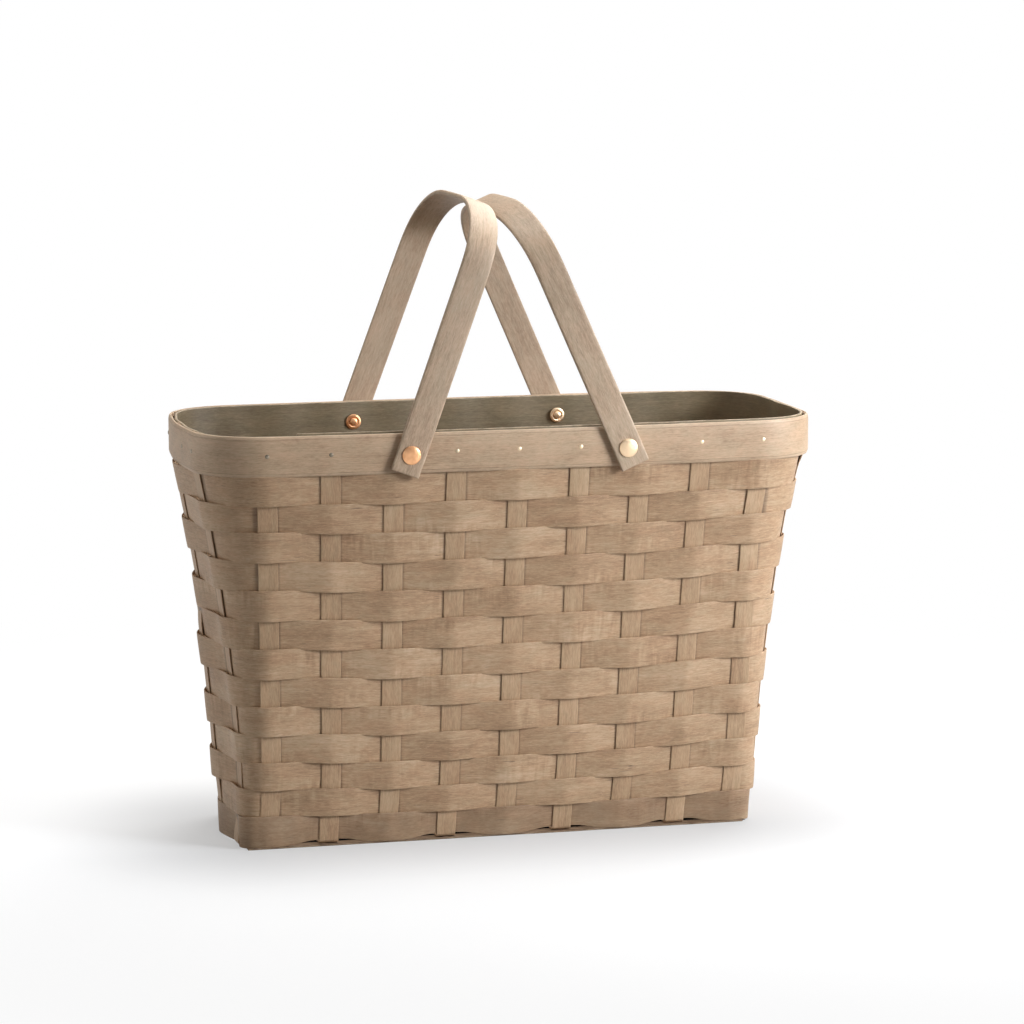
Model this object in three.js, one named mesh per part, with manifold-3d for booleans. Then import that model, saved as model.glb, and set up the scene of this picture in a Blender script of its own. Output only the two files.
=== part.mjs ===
// Tote basket woven from wood splints, with a nailed rim and two riveted swing handles.
// Millimetres, +Z up. X runs along the basket, the front faces -Y, and the origin is the
// middle of the face that the basket stands on.
import * as THREE from "three";
import { mergeVertices } from "three/addons/utils/BufferGeometryUtils.js";
import Module from "manifold-3d";

const wasm = await Module();
wasm.setup();

// Basket body. Half sizes are taken on the middle surface of the wall, at mid side.
const basketHeight = 305;
const topHalfLength = 226;
const topHalfWidth = 99.5;
const baseHalfLength = 193.8;
const baseHalfWidth = 61.2;
const topCornerRadius = 44;
const baseCornerRadius = 9;
const topSideBow = 6.5;
const baseSideBow = 1.8;
const endBow = 2;
const sideFlareShare = -0.2;
const endFlareShare = -0.8;

// Splints
const stakeWidth = 15.2;
const stakeThickness = 1.3;
const weaverThickness = 1.1;
const edgeSplintOverhang = 1.8;
const heelRadius = 2.4;
const fitGap = 0.3;
const sideStakeCount = 9;
const endStakeCount = 3;
const topSideStakeInset = 44.2;
const baseSideStakeInset = 19.4;
const topEndStakeInset = 45.5;
const baseEndStakeInset = 16.2;
const rowCount = 13;
const rowTaperShare = 0.2;
const rowTaperPower = 6;
const splintEndReach = 2.5;

// Rim
const rimHeight = 29;
const outerBandThickness = 2.5;
const innerBandThickness = 2.3;
const stakeTopDrop = 0.6;

// Nails. The stakes by the rivets, counted from the middle one, have none.
const rivetStakeCount = 2;
const nailDrop = 13.8;
const nailHeadRadius = 1.7;
const nailHeadHeight = 0.6;
const nailShankRadius = 0.7;
const nailDomeShare = 0.5;

// Handles and rivets
const rivetStakeClearance = 1.6;
const pivotDrop = 15.4;
const handleHeight = 185;
const handleWidth = 21.4;
const handleThickness = 3.5;
const handleTail = 14;
const handleUprightLength = 22;
const handleTaper = 4;
const archCornerSpan = 74;
const archCornerRise = 42;
const handleMeetingOffset = -5;
const rivetHeadRadius = 6.9;
const rivetHeadHeight = 1.7;
const rivetShankRadius = 2;
const rivetTailRadius = 3.1;
const rivetTailHeight = 1.1;
const rivetTailTipShare = 0.7;
const rivetDomeShares = [[1, 0.35], [0.75, 0.8], [0.3, 1]];
const burrRadius = 5.8;
const burrThickness = 1;

// Sizes that follow. The insets run from mid end or mid side in to the outermost stake.
const lastSideStake = (sideStakeCount - 1) / 2;
const lastEndStake = (endStakeCount - 1) / 2;
const topSidePitch = (topHalfLength - topSideStakeInset) / lastSideStake;
const baseSidePitch = (baseHalfLength - baseSideStakeInset) / lastSideStake;
const topEndPitch = (topHalfWidth - topEndStakeInset) / lastEndStake;
const baseEndPitch = (baseHalfWidth - baseEndStakeInset) / lastEndStake;
const wallHeight = basketHeight - rimHeight;
const weaverOffset = (stakeThickness + weaverThickness) / 2 + fitGap;
const baseWave = stakeThickness + fitGap;
const baseMiddle = stakeThickness / 2 + baseWave;
const dwellHalfLength = stakeWidth / 2 + 2 * fitGap;
const rivetStakeSide = rivetStakeCount * topSidePitch - stakeWidth / 2;
const pivotHalfSpacing = rivetStakeSide - rivetShankRadius - rivetStakeClearance;
const pivotHeight = basketHeight - pivotDrop;
const nailHeight = basketHeight - nailDrop;
const outerBandOffset = stakeThickness / 2 + fitGap + outerBandThickness / 2;
const innerBandOffset = -(stakeThickness / 2 + fitGap + innerBandThickness / 2);
const rimOuterOffset = outerBandOffset + outerBandThickness / 2;
const rimInnerOffset = innerBandOffset - innerBandThickness / 2;

// Steps of the round shapes
const cornerSteps = 5;
const heelSteps = 3;
const wallSteps = 8;
const archSteps = 7;
const smallRoundSides = 8;
const rivetSides = 12;

// Finishes seen in the photograph
const finishes = {
  weaver: { color: 0xa58c74, roughness: 0.7, metalness: 0 },
  stake: { color: 0x9b836c, roughness: 0.72, metalness: 0 },
  base: { color: 0x927a63, roughness: 0.75, metalness: 0 },
  band: { color: 0xa18872, roughness: 0.66, metalness: 0 },
  handle: { color: 0xa38a72, roughness: 0.62, metalness: 0 },
  copper: { color: 0xc98460, roughness: 0.34, metalness: 1 },
  steel: { color: 0xb4b0a8, roughness: 0.4, metalness: 1 },
};

const sideNames = ["front", "right", "back", "left"];
const basket = new THREE.Group();

function addPiece(name, geometry, finish) {
  geometry.computeVertexNormals();
  const mesh = new THREE.Mesh(geometry, new THREE.MeshStandardMaterial(finishes[finish]));
  mesh.name = name;
  basket.add(mesh);
  return mesh;
}

// Outline of the wall's middle surface at one height: a rectangle with round corners
// whose four sides bow outwards. Above the wall the outline stays the same, in the rim.
// The ends rise nearly straight from the base and curve outwards towards the rim.
function outlineAt(height) {
  const share = THREE.MathUtils.clamp(height / wallHeight, 0, 1);
  const sideFlare = share + sideFlareShare * share * (1 - share);
  const endFlare = share + endFlareShare * share * (1 - share);
  const mix = (low, high) => low + (high - low) * sideFlare;
  const sideBow = mix(baseSideBow, topSideBow);
  return {
    halfLength: baseHalfLength + (topHalfLength - baseHalfLength) * endFlare - endBow,
    halfWidth: mix(baseHalfWidth, topHalfWidth) - sideBow,
    radius: mix(baseCornerRadius, topCornerRadius),
    sideBow,
    sidePitch: mix(baseSidePitch, topSidePitch),
    endPitch: mix(baseEndPitch, topEndPitch),
  };
}

// Half the straight run of a side. Sides 0 to 3 are front, right end, back and left end.
function straightHalf(outline, side) {
  const half = side % 2 === 0 ? outline.halfLength : outline.halfWidth;
  return half - outline.radius;
}

function pitchOf(outline, side) {
  return side % 2 === 0 ? outline.sidePitch : outline.endPitch;
}

// Stakes of a side are numbered from its middle one, which is zero.
function lastStakeOf(side) {
  return side % 2 === 0 ? lastSideStake : lastEndStake;
}

function stakesOf(side) {
  const last = lastStakeOf(side);
  return Array.from({ length: 2 * last + 1 }, (_, place) => place - last);
}

// The point of the outline at a distance along a side from its middle, running on round
// the corners, with its direction of travel and its outward direction.
function placeOn(outline, side, along) {
  const straight = straightHalf(outline, side);
  const quarter = (Math.PI / 2) * outline.radius;
  if (along > straight + quarter) {
    const next = (side + 1) % 4;
    return placeOn(outline, next, along - straight - quarter - straightHalf(outline, next));
  }
  if (along < -straight) {
    const last = (side + 3) % 4;
    return placeOn(outline, last, along + straight + quarter + straightHalf(outline, last));
  }
  const turn = (side * Math.PI) / 2;
  const forward = new THREE.Vector3(Math.cos(turn), Math.sin(turn), 0);
  const outward = new THREE.Vector3(Math.sin(turn), -Math.cos(turn), 0);
  const depth = side % 2 === 0 ? outline.halfWidth : outline.halfLength;
  const point = new THREE.Vector3();
  const travel = forward.clone();
  if (along <= straight) {
    point.addScaledVector(forward, along).addScaledVector(outward, depth);
  } else {
    const angle = (along - straight) / outline.radius;
    point.addScaledVector(forward, straight + outline.radius * Math.sin(angle));
    point.addScaledVector(outward, depth - outline.radius * (1 - Math.cos(angle)));
    travel.multiplyScalar(Math.cos(angle)).addScaledVector(outward, -Math.sin(angle));
  }
  const endShare = point.y / outline.halfWidth;
  const sideShare = point.x / outline.halfLength;
  const endSlope = (-2 * endBow * endShare) / outline.halfWidth;
  const sideSlope = (-2 * outline.sideBow * sideShare) / outline.halfLength;
  const bowed = new THREE.Vector3(
    point.x + Math.sign(point.x) * endBow * (1 - endShare * endShare),
    point.y + Math.sign(point.y) * outline.sideBow * (1 - sideShare * sideShare),
    0,
  );
  travel.set(
    travel.x + Math.sign(point.x) * endSlope * travel.y,
    travel.y + Math.sign(point.y) * sideSlope * travel.x,
    0,
  ).normalize();
  return { point: bowed, travel, outward: new THREE.Vector3(travel.y, -travel.x, 0) };
}

// A closed solid through rings of four corners, as a hoop or as a strip with two ends.
function loft(rings, isHoop) {
  const corners = rings[0].length;
  const positions = rings.flat().flatMap((corner) => corner.toArray());
  const faces = [];
  const ringPairs = isHoop ? rings.length : rings.length - 1;
  for (let ring = 0; ring < ringPairs; ring += 1) {
    const next = (ring + 1) % rings.length;
    for (let corner = 0; corner < corners; corner += 1) {
      const side = (corner + 1) % corners;
      const a = ring * corners + corner;
      const b = ring * corners + side;
      const c = next * corners + side;
      const d = next * corners + corner;
      faces.push(a, b, c, a, c, d);
    }
  }
  if (!isHoop) {
    const last = (rings.length - 1) * corners;
    faces.push(0, 2, 1, 0, 3, 2, last, last + 1, last + 2, last, last + 2, last + 3);
  }
  const geometry = new THREE.BufferGeometry();
  geometry.setAttribute("position", new THREE.Float32BufferAttribute(positions, 3));
  geometry.setIndex(faces);
  return facingOut(geometry);
}

// Turns the faces of a closed geometry round if they point inwards.
function facingOut(geometry) {
  const position = geometry.getAttribute("position");
  const index = geometry.getIndex();
  const corners = [new THREE.Vector3(), new THREE.Vector3(), new THREE.Vector3()];
  let volume = 0;
  for (let face = 0; face < index.count; face += 3) {
    corners.forEach((corner, place) => corner.fromBufferAttribute(position, index.getX(face + place)));
    volume += corners[0].dot(corners[1].clone().cross(corners[2]));
  }
  if (volume < 0) {
    for (let face = 0; face < index.count; face += 3) {
      const kept = index.getX(face + 1);
      index.setX(face + 1, index.getX(face + 2));
      index.setX(face + 2, kept);
    }
  }
  return geometry;
}

// One ring of a strip: a centre, the way its width runs and the way its thickness runs.
function stripRing(centre, across, through, width, thickness) {
  const ring = [];
  for (const [u, v] of [[-1, -1], [1, -1], [1, 1], [-1, 1]]) {
    ring.push(
      centre.clone()
        .addScaledVector(across, (u * width) / 2)
        .addScaledVector(through, (v * thickness) / 2),
    );
  }
  return ring;
}

// One ring of an upright hoop, between two heights, at an offset from the middle surface.
// It stands at a place of the outline, moved along the tangent there.
function hoopRing(low, high, side, alongOf, shift, offset, thickness) {
  const ring = [];
  for (const [height, v] of [[low, -1], [low, 1], [high, 1], [high, -1]]) {
    const outline = outlineAt(height);
    const { point, travel, outward } = placeOn(outline, side, alongOf(outline));
    point.addScaledVector(travel, shift).addScaledVector(outward, offset + (v * thickness) / 2);
    point.z = height;
    ring.push(point);
  }
  return ring;
}

// All rings of a hoop that runs round the basket. It lies flat against each stake, and
// offsetOf gives its offset there from the number of the stake, counted round the basket.
function hoopRings(low, high, offsetOf, thickness) {
  const rings = [];
  let count = 0;
  for (let side = 0; side < sideNames.length; side += 1) {
    for (const stake of stakesOf(side)) {
      const alongOf = (outline) => stake * pitchOf(outline, side);
      for (const shift of [-dwellHalfLength, dwellHalfLength]) {
        rings.push(hoopRing(low, high, side, alongOf, shift, offsetOf(count), thickness));
      }
      count += 1;
    }
    const from = offsetOf(count - 1);
    const to = offsetOf(count);
    for (let step = 1; step <= cornerSteps; step += 1) {
      const share = step / (cornerSteps + 1);
      const offset = (from + to) / 2 + ((from - to) / 2) * Math.cos(Math.PI * share);
      const alongOf = (outline) => cornerAlong(outline, side, share);
      rings.push(hoopRing(low, high, side, alongOf, 0, offset, thickness));
    }
  }
  return rings;
}

// Distance along a side to a place at a share of the way round its corner, which is counted
// from the side's last stake to the next side's first.
function cornerAlong(outline, side, share) {
  const next = (side + 1) % 4;
  const quarter = (Math.PI / 2) * outline.radius;
  const whole = straightHalf(outline, side) + quarter + straightHalf(outline, next);
  const start = lastStakeOf(side) * pitchOf(outline, side) + dwellHalfLength;
  const end = whole - lastStakeOf(next) * pitchOf(outline, next) - dwellHalfLength;
  return start + (end - start) * share;
}

// A closed geometry as a solid for cutting.
function toSolid(geometry) {
  const bare = geometry.clone();
  bare.deleteAttribute("normal");
  bare.deleteAttribute("uv");
  const merged = mergeVertices(bare);
  return new wasm.Manifold(
    new wasm.Mesh({
      numProp: 3,
      vertProperties: new Float32Array(merged.getAttribute("position").array),
      triVerts: new Uint32Array(merged.getIndex().array),
    }),
  );
}

// A geometry with tools cut out of it.
function cut(geometry, tools) {
  let solid = toSolid(geometry);
  for (const tool of tools) {
    solid = solid.subtract(toSolid(tool));
  }
  const mesh = solid.getMesh();
  const result = new THREE.BufferGeometry();
  result.setAttribute("position", new THREE.BufferAttribute(new Float32Array(mesh.vertProperties), 3));
  result.setIndex(new THREE.BufferAttribute(new Uint32Array(mesh.triVerts), 1));
  return result;
}

// A round bar for a hole, centred on a point and lying along a direction.
function roundBar(centre, direction, radius, length, sides) {
  const bar = new THREE.CylinderGeometry(radius, radius, length, sides);
  const turn = new THREE.Quaternion().setFromUnitVectors(new THREE.Vector3(0, 1, 0), direction);
  bar.applyQuaternion(turn);
  bar.translate(centre.x, centre.y, centre.z);
  return bar;
}

// Nails. Each place holds a point of the rim's middle surface and the outward direction.
const nailClearanceRadius = nailShankRadius + fitGap;
const nailHoleLength = 2 * (rimOuterOffset - rimInnerOffset);

function nailPlace(side, stake) {
  const outline = outlineAt(basketHeight);
  const place = placeOn(outline, side, stake * pitchOf(outline, side));
  place.point.z = nailHeight;
  return place;
}

function nailHole(side, stake) {
  const place = nailPlace(side, stake);
  return roundBar(place.point, place.outward, nailClearanceRadius, nailHoleLength, smallRoundSides);
}

// Every stake has a nail but the ones by the rivets and the middle one of each end.
const nailList = [];
for (let side = 0; side < sideNames.length; side += 1) {
  const bare = side % 2 === 0 ? rivetStakeCount : 0;
  const stakes = stakesOf(side).filter((stake) => Math.abs(stake) !== bare);
  stakes.forEach((stake, place) => nailList.push({ side, stake, place: place + 1 }));
}

function nailHolesOf(stake, ...sides) {
  return nailList
    .filter((nail) => nail.stake === (nail.side === sides[0] ? stake : -stake) && sides.includes(nail.side))
    .map((nail) => nailHole(nail.side, nail.stake));
}

function makeNails() {
  const seat = rimOuterOffset + fitGap;
  const profile = [
    [0, rimInnerOffset],
    [nailShankRadius, rimInnerOffset],
    [nailShankRadius, seat],
    [nailHeadRadius, seat],
    [nailHeadRadius, seat + nailHeadHeight * nailDomeShare],
    [nailHeadRadius * nailDomeShare, seat + nailHeadHeight],
    [0, seat + nailHeadHeight],
  ].map(([radius, height]) => new THREE.Vector2(radius, height));
  for (const { side, stake, place } of nailList) {
    const spot = nailPlace(side, stake);
    const turn = new THREE.Quaternion().setFromUnitVectors(new THREE.Vector3(0, 1, 0), spot.outward);
    const nail = addPiece(
      `nail_${sideNames[side]}_${place}`,
      new THREE.LatheGeometry(profile, smallRoundSides),
      "steel",
    );
    nail.quaternion.copy(turn);
    nail.position.copy(spot.point);
  }
}

// Wall part of a stake on one side, from the rim down to the end of its heel on the base.
// The width keeps one direction all along the stake, so the far side flips it.
function wallRings(side, stake, flip) {
  const rings = [];
  const heelTop = baseMiddle + heelRadius;
  const heights = [basketHeight - stakeTopDrop];
  for (let step = 0; step <= wallSteps; step += 1) {
    heights.push(wallHeight + ((heelTop - wallHeight) * step) / wallSteps);
  }
  for (const height of heights) {
    const outline = outlineAt(height);
    const { point, travel, outward } = placeOn(outline, side, stake * pitchOf(outline, side));
    point.z = height;
    rings.push(stripRing(point, travel.multiplyScalar(flip), outward, stakeWidth, stakeThickness));
  }
  const outline = outlineAt(heelTop);
  const { point, travel, outward } = placeOn(outline, side, stake * pitchOf(outline, side));
  const down = new THREE.Vector3(0, 0, -1);
  for (let step = 1; step <= heelSteps; step += 1) {
    const angle = (Math.PI / 2) * (step / heelSteps);
    const through = outward.clone().multiplyScalar(Math.cos(angle)).addScaledVector(down, Math.sin(angle));
    const centre = point.clone().addScaledVector(outward, -heelRadius).addScaledVector(through, heelRadius);
    centre.z += heelTop;
    rings.push(stripRing(centre, travel.clone().multiplyScalar(flip), through, stakeWidth, stakeThickness));
  }
  return rings;
}

const baseAcross = new THREE.Vector3(0, -1, 0);
const baseDown = new THREE.Vector3(0, 0, -1);

// Cross stakes run up the front, over the base and up the back.
function makeCrossStakes() {
  for (const stake of stakesOf(0)) {
    const front = wallRings(0, stake, 1);
    const back = wallRings(2, -stake, -1);
    const geometry = loft([...front, ...back.reverse()], false);
    addPiece(`cross_stake_${stake + lastSideStake + 1}`, cut(geometry, nailHolesOf(stake, 0, 2)), "stake");
  }
}

// Rings of a splint that weaves along the base, over and under the cross stakes.
function baseRings(across, width, parity) {
  const rings = [];
  for (const stake of stakesOf(0)) {
    const lift = (stake + parity) % 2 === 0 ? baseWave : -baseWave;
    for (const edge of [-dwellHalfLength, dwellHalfLength]) {
      const centre = new THREE.Vector3(stake * baseSidePitch + edge, across, baseMiddle + lift);
      rings.push(stripRing(centre, baseAcross, baseDown, width, stakeThickness));
    }
  }
  return rings;
}

// Long stakes run up the left end, along the base and up the right end.
function makeLongStakes() {
  for (const stake of stakesOf(1)) {
    const left = wallRings(3, -stake, 1);
    const right = wallRings(1, stake, -1);
    const middle = baseRings(stake * baseEndPitch, stakeWidth, 1);
    const geometry = loft([...left, ...middle, ...right.reverse()], false);
    addPiece(`long_stake_${stake + lastEndStake + 1}`, cut(geometry, nailHolesOf(stake, 1, 3)), "stake");
  }
}

// Fillers close the base between the long stakes, and a straight splint lies under each
// long edge of the base, where the basket stands on it.
function makeBaseSplints() {
  const extent = lastSideStake * baseSidePitch + dwellHalfLength + splintEndReach;
  for (const [name, sign] of [["front", -1], ["back", 1]]) {
    const rings = baseRings((sign * baseEndPitch) / 2, baseEndPitch - stakeWidth - 2 * fitGap, 0);
    addPiece(`base_filler_${name}`, loft(rings, false), "base");
    const outer = baseHalfWidth + edgeSplintOverhang;
    const inner = baseEndPitch + stakeWidth / 2 + 2 * fitGap;
    const across = (sign * (outer + inner)) / 2;
    const edge = [-extent, extent].map((end) => stripRing(
      new THREE.Vector3(end, across, stakeThickness / 2),
      baseAcross,
      baseDown,
      outer - inner,
      stakeThickness,
    ));
    addPiece(`base_edge_splint_${name}`, loft(edge, false), "base");
  }
}

// Each row of the weave passes outside and inside the stakes in turn. The rows have one
// width down most of the wall, and the last few are packed closer above the base.
function makeWeavers() {
  const bottom = baseMiddle + heelRadius;
  const pitchShareOf = (row) => 1 - rowTaperShare * (row / rowCount) ** rowTaperPower;
  const rows = Array.from({ length: rowCount }, (_, place) => place + 1);
  const topPitch = (wallHeight - bottom) / rows.reduce((sum, row) => sum + pitchShareOf(row), 0);
  let high = wallHeight - fitGap;
  for (const row of rows) {
    const low = high - topPitch * pitchShareOf(row) + fitGap;
    const offsetOf = (count) => ((count + row) % 2 === 0 ? -weaverOffset : weaverOffset);
    addPiece(
      `weaver_row_${String(row).padStart(2, "0")}`,
      loft(hoopRings(low, high, offsetOf, weaverThickness), true),
      "weaver",
    );
    high = low - fitGap;
  }
}

const handleSides = [["left", -1], ["right", 1]];
const pivotEnds = [["front", -1], ["back", 1]];
const rivetHoleRadius = rivetShankRadius + 2 * fitGap;

function rivetHoles() {
  const holes = [];
  for (const [, side] of handleSides) {
    for (const [, end] of pivotEnds) {
      const centre = new THREE.Vector3(side * pivotHalfSpacing, end * topHalfWidth, pivotHeight);
      holes.push(roundBar(centre, baseAcross, rivetHoleRadius, nailHoleLength, rivetSides));
    }
  }
  return holes;
}

// Rim bands: one hoop outside the stakes and one inside, bored for nails and rivets.
function makeRim() {
  const holes = [...nailList.map((nail) => nailHole(nail.side, nail.stake)), ...rivetHoles()];
  for (const [name, offset, thickness] of [
    ["rim_band_outer", outerBandOffset, outerBandThickness],
    ["rim_band_inner", innerBandOffset, innerBandThickness],
  ]) {
    const rings = hoopRings(wallHeight, basketHeight, () => offset, thickness);
    addPiece(name, cut(loft(rings, true), holes), "band");
  }
}

// Depth of the rim's face at a place along the basket, measured from the middle plane.
function rimFaceDepth(along, offset) {
  const place = placeOn(outlineAt(basketHeight), 2, along);
  return place.point.y + offset;
}

// The handle's inner face clears the rim wherever its tail swings past it.
const tailReach = Math.hypot(handleTail, handleWidth / 2);
const handleInnerDepth = rimFaceDepth(pivotHalfSpacing - tailReach, rimOuterOffset) + fitGap;
const handleLegDepth = handleInnerDepth + handleThickness / 2;
const handleOuterDepth = handleInnerDepth + handleThickness;

// Centre line of half a handle, from the end of its tail to the middle of its top, as
// depth and rise from the pivot.
function halfHandleLine() {
  const points = [[handleLegDepth, -handleTail], [handleLegDepth, handleUprightLength]];
  const shoulder = handleLegDepth - handleTaper;
  for (let step = 0; step <= archSteps; step += 1) {
    const angle = (Math.PI / 2) * (step / archSteps);
    points.push([
      shoulder - archCornerSpan * (1 - Math.cos(angle)),
      handleHeight - archCornerRise * (1 - Math.sin(angle)),
    ]);
  }
  return points;
}

function handleRings() {
  const half = halfHandleLine();
  const line = [...half.map(([depth, rise]) => [-depth, rise]), ...half.reverse()];
  const points = line.map(([depth, rise]) => new THREE.Vector3(0, depth, rise));
  const across = new THREE.Vector3(1, 0, 0);
  return points.map((point, place) => {
    const before = points[Math.max(place - 1, 0)];
    const after = points[Math.min(place + 1, points.length - 1)];
    const arriving = point.clone().sub(before).normalize();
    const leaving = after.clone().sub(point).normalize();
    const travel = arriving.clone().add(leaving).normalize();
    const through = new THREE.Vector3(0, -travel.z, travel.y);
    const bend = arriving.lengthSq() * leaving.lengthSq() > 0 ? arriving.angleTo(leaving) : 0;
    return stripRing(point, across, through, handleWidth, handleThickness / Math.cos(bend / 2));
  });
}

// Lean from upright at which a handle's top edge meets the plane where the two meet.
function restLean(side) {
  const reach = pivotHalfSpacing - side * handleMeetingOffset - fitGap / 2;
  const top = handleHeight + handleThickness / 2;
  return Math.asin(reach / Math.hypot(top, handleWidth / 2)) - Math.atan2(handleWidth / 2, top);
}

function makeHandles() {
  for (const [name, side] of handleSides) {
    const holes = pivotEnds.map(([, end]) => roundBar(
      new THREE.Vector3(0, end * handleLegDepth, 0),
      baseAcross,
      rivetHoleRadius,
      2 * handleThickness,
      rivetSides,
    ));
    const handle = addPiece(`handle_${name}`, cut(loft(handleRings(), false), holes), "handle");
    handle.position.set(side * pivotHalfSpacing, 0, pivotHeight);
    handle.rotation.y = -side * restLean(side);
  }
}

// Rivets: a domed head outside the handle, a shank through handle and rim, and a tail
// hammered over a washer inside. Heights run outwards from the basket's middle plane.
function makeRivets() {
  const bandInside = rimFaceDepth(pivotHalfSpacing + burrRadius, rimInnerOffset);
  const burrOuter = bandInside - fitGap;
  const burrInner = burrOuter - burrThickness;
  const tailTop = burrInner - fitGap;
  const headSeat = handleOuterDepth + fitGap;
  const points = (list) => list.map(([radius, height]) => new THREE.Vector2(radius, height));
  const rivetProfile = points([
    [0, tailTop - rivetTailHeight],
    [rivetTailRadius * rivetTailTipShare, tailTop - rivetTailHeight],
    [rivetTailRadius, tailTop],
    [rivetShankRadius, tailTop],
    [rivetShankRadius, headSeat],
    [rivetHeadRadius, headSeat],
    ...rivetDomeShares.map(([wide, high]) => [
      rivetHeadRadius * wide,
      headSeat + rivetHeadHeight * high,
    ]),
    [0, headSeat + rivetHeadHeight],
  ]);
  const burrBore = rivetShankRadius + fitGap;
  const burrProfile = points([
    [burrBore, burrInner],
    [burrRadius, burrInner],
    [burrRadius, burrOuter],
    [burrBore, burrOuter],
    [burrBore, burrInner],
  ]);
  for (const [sideName, side] of handleSides) {
    for (const [endName, end] of pivotEnds) {
      const turn = new THREE.Quaternion().setFromUnitVectors(
        new THREE.Vector3(0, 1, 0),
        new THREE.Vector3(0, end, 0),
      );
      for (const [kind, profile] of [["rivet", rivetProfile], ["rivet_burr", burrProfile]]) {
        const geometry = new THREE.LatheGeometry(profile, rivetSides);
        const piece = addPiece(`${kind}_${sideName}_${endName}`, geometry, "copper");
        piece.position.set(side * pivotHalfSpacing, 0, pivotHeight);
        piece.quaternion.copy(turn);
      }
    }
  }
}

makeCrossStakes();
makeLongStakes();
makeBaseSplints();
makeWeavers();
makeRim();
makeNails();
makeHandles();
makeRivets();

export default basket;
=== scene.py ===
"""Splint tote basket: woven walls and base, nailed double rim and two riveted swing handles."""
import logging
import math
from dataclasses import dataclass, field
from enum import Enum
from typing import Callable, Iterable, NamedTuple, Sequence

import bmesh
import bpy
import numpy as np
from mathutils import Matrix, Vector


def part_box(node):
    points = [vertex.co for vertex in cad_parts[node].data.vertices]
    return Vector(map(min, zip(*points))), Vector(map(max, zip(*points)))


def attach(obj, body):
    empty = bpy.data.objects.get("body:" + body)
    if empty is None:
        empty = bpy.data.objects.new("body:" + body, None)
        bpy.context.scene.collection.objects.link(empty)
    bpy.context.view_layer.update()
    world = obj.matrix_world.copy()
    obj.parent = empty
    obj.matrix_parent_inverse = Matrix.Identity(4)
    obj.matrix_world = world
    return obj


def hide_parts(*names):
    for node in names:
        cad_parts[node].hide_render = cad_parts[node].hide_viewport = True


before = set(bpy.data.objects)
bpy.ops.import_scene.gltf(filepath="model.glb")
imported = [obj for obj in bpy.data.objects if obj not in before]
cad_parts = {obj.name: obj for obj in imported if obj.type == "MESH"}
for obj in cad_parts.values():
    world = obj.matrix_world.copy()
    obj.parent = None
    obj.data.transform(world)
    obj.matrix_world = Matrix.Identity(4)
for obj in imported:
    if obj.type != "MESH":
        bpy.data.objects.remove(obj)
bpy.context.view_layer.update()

log = logging.getLogger("tote_basket")

Colour = tuple[float, float, float]
# A point, the direction of travel there and the direction outwards.
Spot = tuple[np.ndarray, np.ndarray, np.ndarray]

# Lengths are in metres throughout, and angles in radians where a name doesn't say degrees.
MM = 0.001
QUARTER = math.pi / 2
WHITE = (1.0, 1.0, 1.0)
RIGHTWARDS = np.array([1.0, 0.0, 0.0])
FORWARDS = np.array([0.0, -1.0, 0.0])
UP = np.array([0.0, 0.0, 1.0])
DOWN = np.array([0.0, 0.0, -1.0])
SPLINT_BEVEL = 0.3 * MM
BAND_BEVEL = 0.5 * MM
MERGE_WITHIN = 4e-6
# What a splint's path carries at each point, with the type of each attribute.
PATH_VALUES = (("across", "FLOAT_VECTOR"), ("outward", "FLOAT_VECTOR"), ("spread", "FLOAT"),
               ("thin", "FLOAT"), ("tuck", "FLOAT"), ("run", "FLOAT"))
# Kind of a group's input by the type of its default.
SOCKET_KINDS = {float: "Float", int: "Int", tuple: "Color"}


def srgb(red: int, green: int, blue: int) -> Colour:
    """Turns a colour as it is seen on a screen, in parts from 0 to 255, into linear light."""
    shares = [value / 255 for value in (red, green, blue)]
    return tuple(part / 12.92 if part <= 0.04045 else ((part + 0.055) / 1.055) ** 2.4 for part in shares)


def smooth_step(low: float, high: float, value: float) -> float:
    """Rises smoothly from 0 at low to 1 at high."""
    share = min(max((value - low) / (high - low), 0.0), 1.0)
    return share * share * (3 - 2 * share)


def unit(vector: np.ndarray) -> np.ndarray:
    """The vector at a length of 1."""
    return vector / np.linalg.norm(vector)


def steps_between(start: float, end: float, steps: int) -> list[float]:
    """Evenly spaced values from start to end, both included."""
    return [start + (end - start) * step / steps for step in range(steps + 1)]


def link_object(name: str, data: bpy.types.ID) -> bpy.types.Object:
    """Makes an object of a mesh, a light or a camera and links it to the scene.

    Args:
        name: Name of the object.
        data: What it shows.

    Returns:
        The object.
    """
    thing = bpy.data.objects.new(name, data)
    bpy.context.scene.collection.objects.link(thing)
    return thing


class Side(Enum):
    """The four sides of the basket, counted the way the weave runs."""

    FRONT = 0
    RIGHT = 1
    BACK = 2
    LEFT = 3

    @property
    def is_long(self) -> bool:
        """True for the front and the back."""
        return self.value % 2 == 0


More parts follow.
